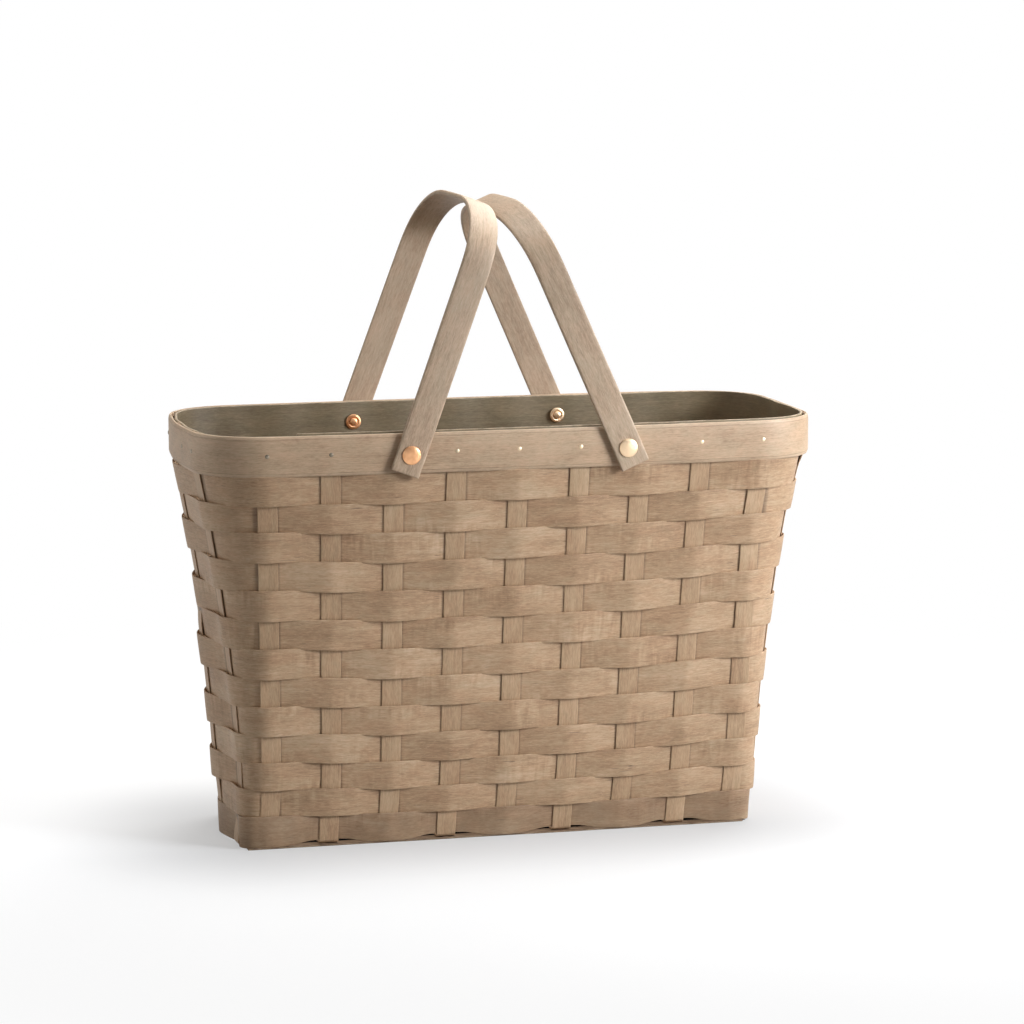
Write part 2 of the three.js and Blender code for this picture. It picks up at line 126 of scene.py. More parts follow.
@dataclass(frozen=True)
class Outline:
    """The middle line of the wall at one height: a rectangle with round corners and bowed sides."""

    half_length: float
    half_width: float
    radius: float
    side_bow: float
    end_bow: float
    side_pitch: float
    end_pitch: float

    def straight(self, side: int) -> float:
        """Half the straight run of a side."""
        return (self.half_length if side % 2 == 0 else self.half_width) - self.radius

    def pitch(self, side: int) -> float:
        """Distance from stake to stake on a side."""
        return self.side_pitch if side % 2 == 0 else self.end_pitch

    def place(self, side: int, along: float) -> Spot:
        """Finds a place on the outline, running on round the corners.

        Args:
            side: Number of the side that the distance is counted on.
            along: Distance from the middle of that side.

        Returns:
            The point, the direction of travel and the direction outwards.
        """
        straight = self.straight(side)
        quarter = QUARTER * self.radius
        if along > straight + quarter:
            after = (side + 1) % 4
            return self.place(after, along - straight - quarter - self.straight(after))
        if along < -straight:
            before = (side + 3) % 4
            return self.place(before, along + straight + quarter + self.straight(before))
        cosine, sine = round(math.cos(side * QUARTER)), round(math.sin(side * QUARTER))
        travel, outward = np.array([cosine, sine, 0.0]), np.array([sine, -cosine, 0.0])
        depth = self.half_width if side % 2 == 0 else self.half_length
        if along <= straight:
            point = travel * along + outward * depth
        else:
            angle = (along - straight) / self.radius
            point = travel * (straight + self.radius * math.sin(angle))
            point = point + outward * (depth - self.radius * (1 - math.cos(angle)))
            travel = travel * math.cos(angle) - outward * math.sin(angle)
        end_share, side_share = point[1] / self.half_width, point[0] / self.half_length
        sign_x, sign_y = np.sign(point[0]), np.sign(point[1])
        bowed = np.array([
            point[0] + sign_x * self.end_bow * (1 - end_share ** 2),
            point[1] + sign_y * self.side_bow * (1 - side_share ** 2), 0.0])
        slope_x = sign_x * (-2 * self.end_bow * end_share / self.half_width)
        slope_y = sign_y * (-2 * self.side_bow * side_share / self.half_length)
        travel = unit(np.array([travel[0] + slope_x * travel[1], travel[1] + slope_y * travel[0], 0.0]))
        return bowed, travel, np.array([travel[1], -travel[0], 0.0])


@dataclass(frozen=True)
class BasketShape:
    """Sizes that all parts of the basket share, in metres."""

    height: float = 305 * MM
    rim_height: float = 29 * MM
    top_half_length: float = 226 * MM
    top_half_width: float = 99.5 * MM
    base_half_length: float = 193.8 * MM
    base_half_width: float = 61.2 * MM
    top_radius: float = 44 * MM
    base_radius: float = 9 * MM
    top_side_bow: float = 6.5 * MM
    base_side_bow: float = 1.8 * MM
    end_bow: float = 2 * MM
    side_flare_share: float = -0.2
    end_flare_share: float = -0.8
    top_side_inset: float = 44.2 * MM
    base_side_inset: float = 19.4 * MM
    top_end_inset: float = 45.5 * MM
    base_end_inset: float = 16.2 * MM
    last_side_stake: int = 4
    last_end_stake: int = 1
    stake_width: float = 15.2 * MM
    stake_thickness: float = 1.3 * MM
    weaver_thickness: float = 1.1 * MM
    heel_radius: float = 2.4 * MM
    gap: float = 0.3 * MM
    rows: int = 13
    row_taper_share: float = 0.2
    row_taper_power: int = 6
    outer_band: float = 2.5 * MM
    inner_band: float = 2.3 * MM

    @property
    def wall_height(self) -> float:
        """Height at which the rim starts."""
        return self.height - self.rim_height

    @property
    def base_wave(self) -> float:
        """How far the splints of the base rise and dip to pass each other."""
        return self.stake_thickness + self.gap

    @property
    def base_middle(self) -> float:
        """Height of the middle of the woven base."""
        return self.stake_thickness / 2 + self.base_wave

    @property
    def heel_top(self) -> float:
        """Height at which the stakes bend in under the basket."""
        return self.base_middle + self.heel_radius

    @property
    def side_pitch(self) -> float:
        """Distance between the stakes along the base."""
        return (self.base_half_length - self.base_side_inset) / self.last_side_stake

    @property
    def end_pitch(self) -> float:
        """Distance between the stakes across the base."""
        return (self.base_half_width - self.base_end_inset) / self.last_end_stake

    @property
    def outer_offset(self) -> float:
        """Offset of the outer rim band's middle from the stakes' middle."""
        return self.stake_thickness / 2 + self.gap + self.outer_band / 2

    @property
    def inner_offset(self) -> float:
        """Offset of the inner rim band's middle from the stakes' middle."""
        return -(self.stake_thickness / 2 + self.gap + self.inner_band / 2)

    @property
    def stake_counts(self) -> list[tuple[int, int]]:
        """Each stake as it is met round the basket: its side and its number on that side."""
        lasts = (self.last_side_stake, self.last_end_stake) * 2
        return [(side, stake) for side, last in enumerate(lasts) for stake in range(-last, last + 1)]

    def outline(self, height: float) -> Outline:
        """The wall's outline at a height.

        Args:
            height: Height above the floor.

        Returns:
            The outline.
        """
        share = min(max(height / self.wall_height, 0.0), 1.0)
        flare = share + self.side_flare_share * share * (1 - share)
        end_flare = share + self.end_flare_share * share * (1 - share)

        def mix(low: float, high: float) -> float:
            """A size between its values at the base and at the rim."""
            return low + (high - low) * flare

        side_bow = mix(self.base_side_bow, self.top_side_bow)
        half_length = self.base_half_length + (self.top_half_length - self.base_half_length) * end_flare
        top_side = (self.top_half_length - self.top_side_inset) / self.last_side_stake
        top_end = (self.top_half_width - self.top_end_inset) / self.last_end_stake
        return Outline(
            half_length=half_length - self.end_bow,
            half_width=mix(self.base_half_width, self.top_half_width) - side_bow,
            radius=mix(self.base_radius, self.top_radius),
            side_bow=side_bow,
            end_bow=self.end_bow,
            side_pitch=mix(self.side_pitch, top_side),
            end_pitch=mix(self.end_pitch, top_end))

    def round_place(self, height: float, count: float) -> Spot:
        """Finds a place round the wall from a count of stakes, which may be a fraction.

        Args:
            height: Height above the floor.
            count: Stakes passed since the first one of the front side.

        Returns:
            The point at that height, the direction of travel and the direction outwards.
        """
        outline = self.outline(height)
        stakes = self.stake_counts
        whole = math.floor(count)
        share = count - whole
        side, stake = stakes[whole % len(stakes)]
        next_side, next_stake = stakes[(whole + 1) % len(stakes)]
        along = stake * outline.pitch(side)
        if side == next_side:
            along += share * outline.pitch(side)
        else:
            reach = outline.straight(side) + QUARTER * outline.radius + outline.straight(next_side)
            reach += next_stake * outline.pitch(next_side)
            along += share * (reach - along)
        point, travel, outward = outline.place(side, along)
        point[2] = height
        return point, travel, outward

    def corner_share(self, height: float, count: float) -> float:
        """How near a place round the wall is to an end, from 0 in the middle to 1."""
        return abs(self.round_place(height, count)[0][0]) / self.outline(height).half_length


@dataclass(frozen=True)
class Settling:
    """How a hand-woven basket has settled out of true, in metres along its length.

    The limits in its methods are places in metres between which each shift fades in or out.
    """

    end_pull: float = -2.2 * MM
    rim_push: float = 3.0 * MM
    base_drift: float = -2.2 * MM
    left_bulge: float = -5.6 * MM
    left_rim_share: float = 0.4
    low_bulge: float = -3.6 * MM
    rear_pull: float = 2.5 * MM
    foot_share: float = 0.1
    corner_push: float = -5.0 * MM

    def shift(self, places: np.ndarray) -> np.ndarray:
        """Finds how far each place has moved along the basket.

        Args:
            places: Places as rows of x, y and z.

        Returns:
            The shift of each place along x.
        """
        shifts = np.zeros(len(places))
        for number, (x, y, z) in enumerate(places):
            pulled = smooth_step(0.11, 0.185, x) * (1 - smooth_step(0.225, 0.262, z))
            pushed = smooth_step(0.15, 0.215, x) * smooth_step(0.262, 0.281, z)
            drifted = 1 - smooth_step(0.0, 0.06, z)
            shifts[number] = self.end_pull * pulled + self.rim_push * pushed + self.base_drift * drifted
            shifts[number] += self.left_end(x, y, z)
        return shifts

    def left_end(self, x: float, y: float, z: float) -> float:
        """How far the left end has bulged at one place.

        Args:
            x: Place along the basket.
            y: Place across it.
            z: Height.

        Returns:
            The shift along x.
        """
        share = min(max(y / (0.0448 + 0.0332 * z), -1.0), 1.0)
        low = self.low_bulge * smooth_step(0.02, 0.06, z) * (1 - smooth_step(0.15, 0.19, z))
        bulge = (self.left_bulge + low) * (1 - share ** 2) ** 2 + self.rear_pull * max(share, 0.0) ** 2
        level = 1 - (1 - self.left_rim_share) * smooth_step(0.25, 0.28, z)
        level *= self.foot_share + (1 - self.foot_share) * smooth_step(0.0, 0.022, z)
        corner = self.corner_push * smooth_step(0.03, 0.055, -y) * (1 - smooth_step(0.0, 0.03, z))
        return (bulge * level + corner) * smooth_step(0.14, 0.185, -x)


class PathPlace(NamedTuple):
    """One place on a splint's path: its middle, the ways that its width and its outer face point,
    its width and thickness as shares, and how much painted shade it gets, from 0 to 1: on a weaver mostly
    how deep it is tucked behind others."""

    point: np.ndarray
    across: np.ndarray
    outward: np.ndarray
    spread: float = 1.0
    thin: float = 1.0
    tuck: float = 0.0


@dataclass
class SplintPath:
    """The middle line of a splint."""

    places: list[PathPlace] = field(default_factory=list)

    def add(self, *values: object, **shares: float) -> None:
        """Adds one place to the path, given by the fields of PathPlace."""
        self.places.append(PathPlace(*values, **shares))

    def close_ends(self, ease: float) -> None:
        """Gives both ends a small bevel and closes them.

        Args:
            ease: Length of the bevel.
        """
        for end, inner in ((0, 1), (-1, -2)):
            last = self.places[end]
            way = unit(last.point - self.places[inner].point)
            for reach, spread, thin in ((0.7, 0.995, 0.93), (1.0, 0.975, 0.7), (1.0, 0.0, 0.0)):
                tip = last._replace(point=last.point + way * ease * reach, spread=last.spread * spread,
                                    thin=last.thin * thin)
                self.places.insert(0 if end == 0 else len(self.places), tip)

    def to_object(self, name: str, settling: Settling | None) -> bpy.types.Object:
        """Writes the path as a mesh of points that carry its directions and sizes.

        Args:
            name: Name of the object.
            settling: How the basket has settled, if the piece is a part of its body.

        Returns:
            The object, linked to the scene.
        """
        mesh = bpy.data.meshes.new(name)
        points = np.array([place.point for place in self.places])
        if settling is not None:
            points[:, 0] += settling.shift(points)
        mesh.from_pydata(points.tolist(), [], [])
        run = np.concatenate([[0.0], np.cumsum(np.linalg.norm(np.diff(points, axis=0), axis=1))])
        for label, kind in PATH_VALUES:
            values = run if label == "run" else np.array([getattr(place, label) for place in self.places])
            attribute = mesh.attributes.new(label, kind, "POINT")
            attribute.data.foreach_set("vector" if kind == "FLOAT_VECTOR" else "value", values.ravel())
        return link_object(name, mesh)


class Signal:
    """An output of a node. Arithmetic with it adds Math nodes to its canvas."""

    def __init__(self, canvas: "NodeCanvas", socket: bpy.types.NodeSocket) -> None:
        """Keeps the canvas and the output socket."""
        self.canvas, self.socket = canvas, socket

    def __add__(self, other: object) -> "Signal":
        """The sum of both."""
        return self.canvas.math("ADD", self, other)

    def __sub__(self, other: object) -> "Signal":
        """The signal less the other."""
        return self.canvas.math("SUBTRACT", self, other)

    def __rsub__(self, other: object) -> "Signal":
        """The other less the signal."""
        return self.canvas.math("SUBTRACT", other, self)

    def __mul__(self, other: object) -> "Signal":
        """The product of both."""
        return self.canvas.math("MULTIPLY", self, other)

    def __truediv__(self, other: object) -> "Signal":
        """The signal divided by the other."""
        return self.canvas.math("DIVIDE", self, other)

    def __abs__(self) -> "Signal":
        """The signal without its sign."""
        return self.canvas.math("ABSOLUTE", self)

    def ramp(self, low: object, high: object, to_low: object = 0.0, to_high: object = 1.0,
             kind: str = "LINEAR") -> "Signal":
        """Maps the range from low to high onto the range from to_low to to_high and stays inside."""
        inputs = {0: self, 1: low, 2: high, 3: to_low, 4: to_high}
        return self.canvas.wire("ShaderNodeMapRange", inputs, interpolation_type=kind)


class NodeCanvas:
    """A node tree with short calls that add nodes and join them."""

    def __init__(self, tree: bpy.types.NodeTree) -> None:
        """Takes the geometry or shader tree to draw on."""
        self.tree = tree

    def node(self, kind: str, inputs: dict[object, object], **settings: object) -> bpy.types.Node:
        """Adds a node.

        Args:
            kind: Blender's name for the node.
            inputs: Signals or plain values for its inputs, by name or number.
            **settings: Its properties.

        Returns:
            The node.
        """
        node = self.tree.nodes.new(kind)
        for name, value in settings.items():
            setattr(node, name, value)
        for key, value in inputs.items():
            socket = node.inputs[key]
            if isinstance(value, Signal):
                self.tree.links.new(value.socket, socket)
            else:
                socket.default_value = (*value, 1.0) if socket.type == "RGBA" else value
        return node

    def wire(self, kind: str, inputs: dict[object, object], output: object = 0,
             **settings: object) -> Signal:
        """Adds a node, given as in node, and gives one of its outputs by name or number."""
        return Signal(self, self.node(kind, inputs, **settings).outputs[output])

    def outputs(self, node: bpy.types.Node) -> dict[str, Signal]:
        """All outputs of a node by name."""
        return {socket.name: Signal(self, socket) for socket in node.outputs}

    def group(self, tree: bpy.types.NodeTree, values: dict[str, object]) -> dict[str, Signal]:
        """Adds a group node, feeds it those values that it has an input for and gives its outputs."""
        inputs = {item.name: values[item.name] for item in tree.interface.items_tree
                  if item.in_out == "INPUT" and item.name in values}
        return self.outputs(self.node("ShaderNodeGroup", inputs, node_tree=tree))

    def math(self, operation: str, *values: object) -> Signal:
        """Adds a Math node."""
        return self.wire("ShaderNodeMath", dict(enumerate(values)), operation=operation)

    def vector(self, operation: str, first: object, second: object) -> Signal:
        """Adds a Vector Math node. For SCALE the second value is a number."""
        key = "Scale" if operation == "SCALE" else 1
        return self.wire("ShaderNodeVectorMath", {0: first, key: second}, operation=operation)

    def length(self, vector: Signal) -> Signal:
        """Length of a vector."""
        return self.wire("ShaderNodeVectorMath", {0: vector}, "Value", operation="LENGTH")

    def combine(self, *parts: object) -> Signal:
        """Joins three numbers into a vector."""
        return self.wire("ShaderNodeCombineXYZ", dict(enumerate(parts)))

    def split(self, vector: Signal) -> list[Signal]:
        """Splits a vector into its three numbers."""
        return list(self.outputs(self.node("ShaderNodeSeparateXYZ", {0: vector})).values())

    def attribute(self, name: str, output: str = "Fac") -> Signal:
        """Reads a named value of the surface in a material."""
        return self.wire("ShaderNodeAttribute", {}, output, attribute_name=name)

    def mix(self, factor: object, first: object, second: object, blend: str = "MIX") -> Signal:
        """Mixes two colours; the factor is the share of the second."""
        inputs = {"Factor": factor, 6: first, 7: second}
        return self.wire("ShaderNodeMix", inputs, 2, data_type="RGBA", blend_type=blend)

    def noise(self, vector: object, detail: float = 2.0, roughness: float = 0.5,
              distortion: float = 0.0, scale: float = 1.0) -> Signal:
        """Adds a noise texture from 0 to 1."""
        return self.wire("ShaderNodeTexNoise", {
            "Vector": vector, "Scale": scale, "Detail": detail, "Roughness": roughness,
            "Distortion": distortion})

    def close(self, **outputs: Signal) -> bpy.types.NodeTree:
        """Adds the outputs of a group.

        Args:
            **outputs: Their signals by name.

        Returns:
            The finished tree.
        """
        for label, value in outputs.items():
            self.tree.interface.new_socket(label, in_out="OUTPUT", socket_type=value.socket.bl_idname)
        self.node("NodeGroupOutput", outputs)
        return self.tree


def new_group(name: str, tree_kind: str, inputs: dict[str, object]) -> tuple[NodeCanvas, dict[str, Signal]]:
    """Starts a node group with named inputs.

    Args:
        name: Name of the group.
        tree_kind: Blender's name for the kind of tree.
        inputs: Default of each input by name, or the kind of one that has no default.

    Returns:
        The canvas, and the inputs as signals by name.
    """
    tree = bpy.data.node_groups.new(name, tree_kind)
    for label, default in inputs.items():
        kind = default if isinstance(default, str) else SOCKET_KINDS[type(default)]
        socket = tree.interface.new_socket(label, in_out="INPUT", socket_type=f"NodeSocket{kind}")
        if kind != default:
            socket.default_value = (*default, 1.0) if kind == "Color" else default
    canvas = NodeCanvas(tree)
    return canvas, canvas.outputs(canvas.node("NodeGroupInput", {}))


def clear_canvas(owner: bpy.types.ID) -> NodeCanvas:
    """Empties the node tree of a material or world.

    Args:
        owner: The material or world.

    Returns:
        A canvas on its tree.
    """
    owner.use_nodes = True
    owner.node_tree.nodes.clear()
    return NodeCanvas(owner.node_tree)


def titled(values: dict[str, object]) -> dict[str, object]:
    """Turns field names such as fibre_width into input names such as Fibre Width."""
    return {name.replace("_", " ").title(): value for name, value in values.items()}


def run_tree(piece: bpy.types.Object, tree: bpy.types.NodeTree,
             values: dict[str, object]) -> bpy.types.Object:
    """Runs a geometry tree on an object and keeps the result as a plain mesh.

    Args:
        piece: Object that the tree starts from.
        tree: The geometry tree.
        values: Values for its named inputs.

    Returns:
        The same object with its new mesh and no modifier.
    """
    modifier = piece.modifiers.new(tree.name, "NODES")
    modifier.node_group = tree
    for item in tree.interface.items_tree:
        if item.in_out == "INPUT" and item.name in values:
            modifier[item.identifier] = values[item.name]
    mesh = bpy.data.meshes.new_from_object(piece.evaluated_get(bpy.context.evaluated_depsgraph_get()))
    mesh.name = piece.name
    old = piece.data
    piece.modifiers.remove(modifier)
    piece.data = mesh
    bpy.data.meshes.remove(old)
    return piece


def face_outwards(mesh: bpy.types.Mesh) -> None:
    """Turns the faces of a closed mesh round if they point inwards.

    Args:
        mesh: The mesh.
    """
    mesh.calc_loop_triangles()
    corners = np.empty(len(mesh.vertices) * 3)
    mesh.vertices.foreach_get("co", corners)
    triangles = np.empty(len(mesh.loop_triangles) * 3, dtype=np.int32)
    mesh.loop_triangles.foreach_get("vertices", triangles)
    a, b, c = (corners.reshape(-1, 3)[triangles.reshape(-1, 3)[:, place]] for place in range(3))
    if float(np.einsum("ij,ij->i", a, np.cross(b, c)).sum()) < 0:
        mesh.flip_normals()


@dataclass(frozen=True)
class SplintSizes:
    """Section of a splint in metres, and how uneven its edges are."""

    width: float
    thickness: float
    squareness: float = 0.3
    crown: float = 0.0
    ease_height: float = 2 * MM
    ease_depth: float = 0.0
    wander: float = 0.25 * MM
    wander_length: float = 60 * MM
    sides: int = 20


class SplintTree:
    """Geometry tree that turns a path into a closed flat splint with eased, slightly uneven edges."""

    def __init__(self) -> None:
        """Builds the tree once for every splint."""
        canvas, given = new_group("splint_from_path", "GeometryNodeTree", {
            "Geometry": "Geometry", "Width": 0.02, "Thickness": 0.001, "Squareness": 0.3, "Crown": 0.0,
            "Ease Height": 0.002, "Ease Depth": 0.0, "Wander": 0.0003, "Wander Length": 0.06,
            "Sides": 20, "Seed": 0.0, "Material": "Material"})
        path, sides = given["Geometry"], given["Sides"]
        count = canvas.wire("GeometryNodeAttributeDomainSize", {0: path}, "Point Count", component="MESH")
        ring_size = sides + 1.0
        grid = canvas.wire("GeometryNodeMeshGrid", {"Vertices X": count, "Vertices Y": ring_size}, "Mesh")
        index = canvas.wire("GeometryNodeInputIndex", {})
        ring = canvas.math("FLOOR", (index + 0.5) / ring_size)
        place = canvas.math("MODULO", index - ring * ring_size, sides)

        def at_ring(value: Signal, kind: str) -> Signal:
            """Reads a value of the path at this ring."""
            inputs = {"Geometry": path, "Value": value, "Index": ring}
            return canvas.wire("GeometryNodeSampleIndex", inputs, data_type=kind, domain="POINT")

        middle = at_ring(canvas.wire("GeometryNodeInputPosition", {}), "FLOAT_VECTOR")
        across, outward, spread, thin, tuck, run = (
            at_ring(canvas.wire("GeometryNodeInputNamedAttribute", {"Name": label}, data_type=kind), kind)
            for label, kind in PATH_VALUES)

        angle = place / sides * (2 * math.pi)
        cosine, sine = canvas.math("COSINE", angle), canvas.math("SINE", angle)
        edge = canvas.math("POWER", abs(cosine), given["Squareness"])
        face = canvas.math("POWER", abs(sine), given["Squareness"])
        edge_side, face_side = canvas.math("SIGN", cosine), canvas.math("SIGN", sine)
        half_width = given["Width"] * 0.5 * spread
        u = edge * edge_side * half_width
        v = face * face_side * (given["Thickness"] * 0.5 * thin)

        crown = given["Crown"] * (1.0 - edge * edge) * thin
        eased = edge.ramp(1.0 - given["Ease Height"] / half_width, 1.0)
        v = v + crown - eased * canvas.math("MAXIMUM", face_side, 0.0) * given["Ease Depth"] * thin

        seed = given["Seed"] * 7.31
        stretch = run / given["Wander Length"] + seed
        edge_noise = canvas.noise(canvas.combine(stretch, edge_side * 2.7, seed), 3.0)
        face_noise = canvas.noise(canvas.combine(stretch, seed, 9.1), 1.0)
        wander = given["Wander"] * 2.0
        u = u + (edge_noise - 0.5) * wander * (spread * edge)
        v = v + (face_noise - 0.5) * wander

        position = canvas.vector("ADD", middle, canvas.vector("SCALE", across, u))
        position = canvas.vector("ADD", position, canvas.vector("SCALE", outward, v))
        shape = canvas.wire("GeometryNodeSetPosition", {"Geometry": grid, "Position": position})
        for label, kind, value in (
                ("grain", "FLOAT_VECTOR", canvas.combine(run, u, v)), ("edge", "FLOAT", edge),
                ("tuck", "FLOAT", tuck)):
            inputs = {"Geometry": shape, "Name": label, "Value": value}
            shape = canvas.wire("GeometryNodeStoreNamedAttribute", inputs, data_type=kind, domain="POINT")
        for kind, inputs in (
                ("GeometryNodeMergeByDistance", {"Distance": MERGE_WITHIN}),
                ("GeometryNodeSetShadeSmooth", {"Shade Smooth": True}),
                ("GeometryNodeRealizeInstances", {}),
                ("GeometryNodeSetMaterial", {"Material": given["Material"]})):
            shape = canvas.wire(kind, {"Geometry": shape} | inputs)
        self.tree = canvas.close(Geometry=shape)

    def weave(self, name: str, path: SplintPath, sizes: SplintSizes, finish: bpy.types.Material,
              seed: float, settling: Settling | None) -> bpy.types.Object:
        """Makes one splint along a path.

        Args:
            name: Name of the piece.
            path: Its middle line.
            sizes: Its section.
            finish: Its material.
            seed: Number that sets its own small unevenness.
            settling: How the basket has settled, if the piece is a part of its body.

        Returns:
            The finished piece, faces outwards.
        """
        values = titled(vars(sizes)) | {"Seed": float(seed), "Material": finish}
        piece = run_tree(path.to_object(name, settling), self.tree, values)
        face_outwards(piece.data)
        tone = piece.data.attributes.new("tone", "FLOAT", "POINT")
        tone.data.foreach_set("value", np.full(len(piece.data.vertices), float(seed)))
        return piece


class FastenerTree:
    """Geometry tree that sets one fastener on each point, turned to face outwards."""

    def __init__(self) -> None:
        """Builds the tree once for nails, rivets and washers."""
        canvas, given = new_group("fasteners_on_points", "GeometryNodeTree", {
            "Geometry": "Geometry", "Fastener": "Object", "Size Spread": 0.04, "Seed": 3,
            "Material": "Material"})
        form = {"Object": given["Fastener"], "As Instance": True}
        shape = canvas.wire("GeometryNodeObjectInfo", form, "Geometry", transform_space="ORIGINAL")
        outward = canvas.wire(
            "GeometryNodeInputNamedAttribute", {"Name": "outward"}, data_type="FLOAT_VECTOR")
        facing = canvas.wire("FunctionNodeAlignRotationToVector", {"Vector": outward}, axis="Z")
        turn = self.dice(canvas, 0.0, 2 * math.pi, given["Seed"])
        spin = canvas.wire("FunctionNodeAxisAngleToRotation", {"Axis": tuple(UP), "Angle": turn})
        rotation = canvas.wire("FunctionNodeRotateRotation", {0: facing, 1: spin}, rotation_space="LOCAL")
        size = self.dice(canvas, 1.0 - given["Size Spread"], 1.0, given["Seed"] + 11.0)
        placed = canvas.wire("GeometryNodeInstanceOnPoints", {
            "Points": given["Geometry"], "Instance": shape, "Rotation": rotation,
            "Scale": canvas.combine(size, size, 1.0)})
        placed = canvas.wire("GeometryNodeRealizeInstances", {"Geometry": placed})
        placed = canvas.wire("GeometryNodeSetMaterial", {"Geometry": placed, "Material": given["Material"]})
        self.tree = canvas.close(Geometry=placed)

    @staticmethod
    def dice(canvas: NodeCanvas, low: object, high: float, seed: Signal) -> Signal:
        """A random number from low to high for each point."""
        return canvas.wire("FunctionNodeRandomValue", {2: low, 3: high, "Seed": seed}, 1, data_type="FLOAT")


def turned_shape(name: str, profile: Sequence[tuple[float, float]], sides: int,
                 hammer: float = 0.0, seed: int = 1) -> bpy.types.Object:
    """Makes a closed turned shape about the Z axis.

    Args:
        name: Name of the object.
        profile: Radius and height of each corner, from one end of the axis to the other.
        sides: Number of sides.
        hammer: Depth of the hammer marks on the outer end.
        seed: Number that sets the hammer marks.

    Returns:
        The object, linked to the scene.
    """
    dice = np.random.default_rng(seed)
    marks = dice.uniform(-1, 1, size=(9, 2)) * max(radius for radius, _ in profile)
    top = max(height for _, height in profile)
    corners: list[tuple[float, float, float]] = []
    rings: list[list[int]] = []
    for radius, height in profile:
        start = len(corners)
        for side in range(sides if radius else 1):
            angle = 2 * math.pi * side / sides
            x, y = radius * math.cos(angle), radius * math.sin(angle)
            dent = 0.0
            if radius and hammer and height > top * 0.5:
                near = np.min(np.hypot(marks[:, 0] - x, marks[:, 1] - y))
                dent = hammer * (1 - smooth_step(0, radius * 0.6 + 1e-6, near))
            corners.append((x, y, height - dent))
        rings.append(list(range(start, len(corners))))
    faces: list[list[int]] = []
    for lower, upper in zip(rings, rings[1:]):
        for side in range(sides):
            after = (side + 1) % sides
            first = lower if len(lower) == 1 else [lower[side], lower[after]]
            faces.append(first + (upper if len(upper) == 1 else [upper[after], upper[side]]))
    mesh = bpy.data.meshes.new(name)
    mesh.from_pydata(corners, [], faces)
    mesh.polygons.foreach_set("use_smooth", [True] * len(faces))
    face_outwards(mesh)
    return link_object(name, mesh)


def merge_close(mesh: bpy.types.Mesh) -> None:
    """Joins corners of a mesh that lie on each other.

    Args:
        mesh: The mesh.
    """
    work = bmesh.new()
    work.from_mesh(mesh)
    bmesh.ops.remove_doubles(work, verts=work.verts, dist=1e-6)
    work.to_mesh(mesh)
    work.free()


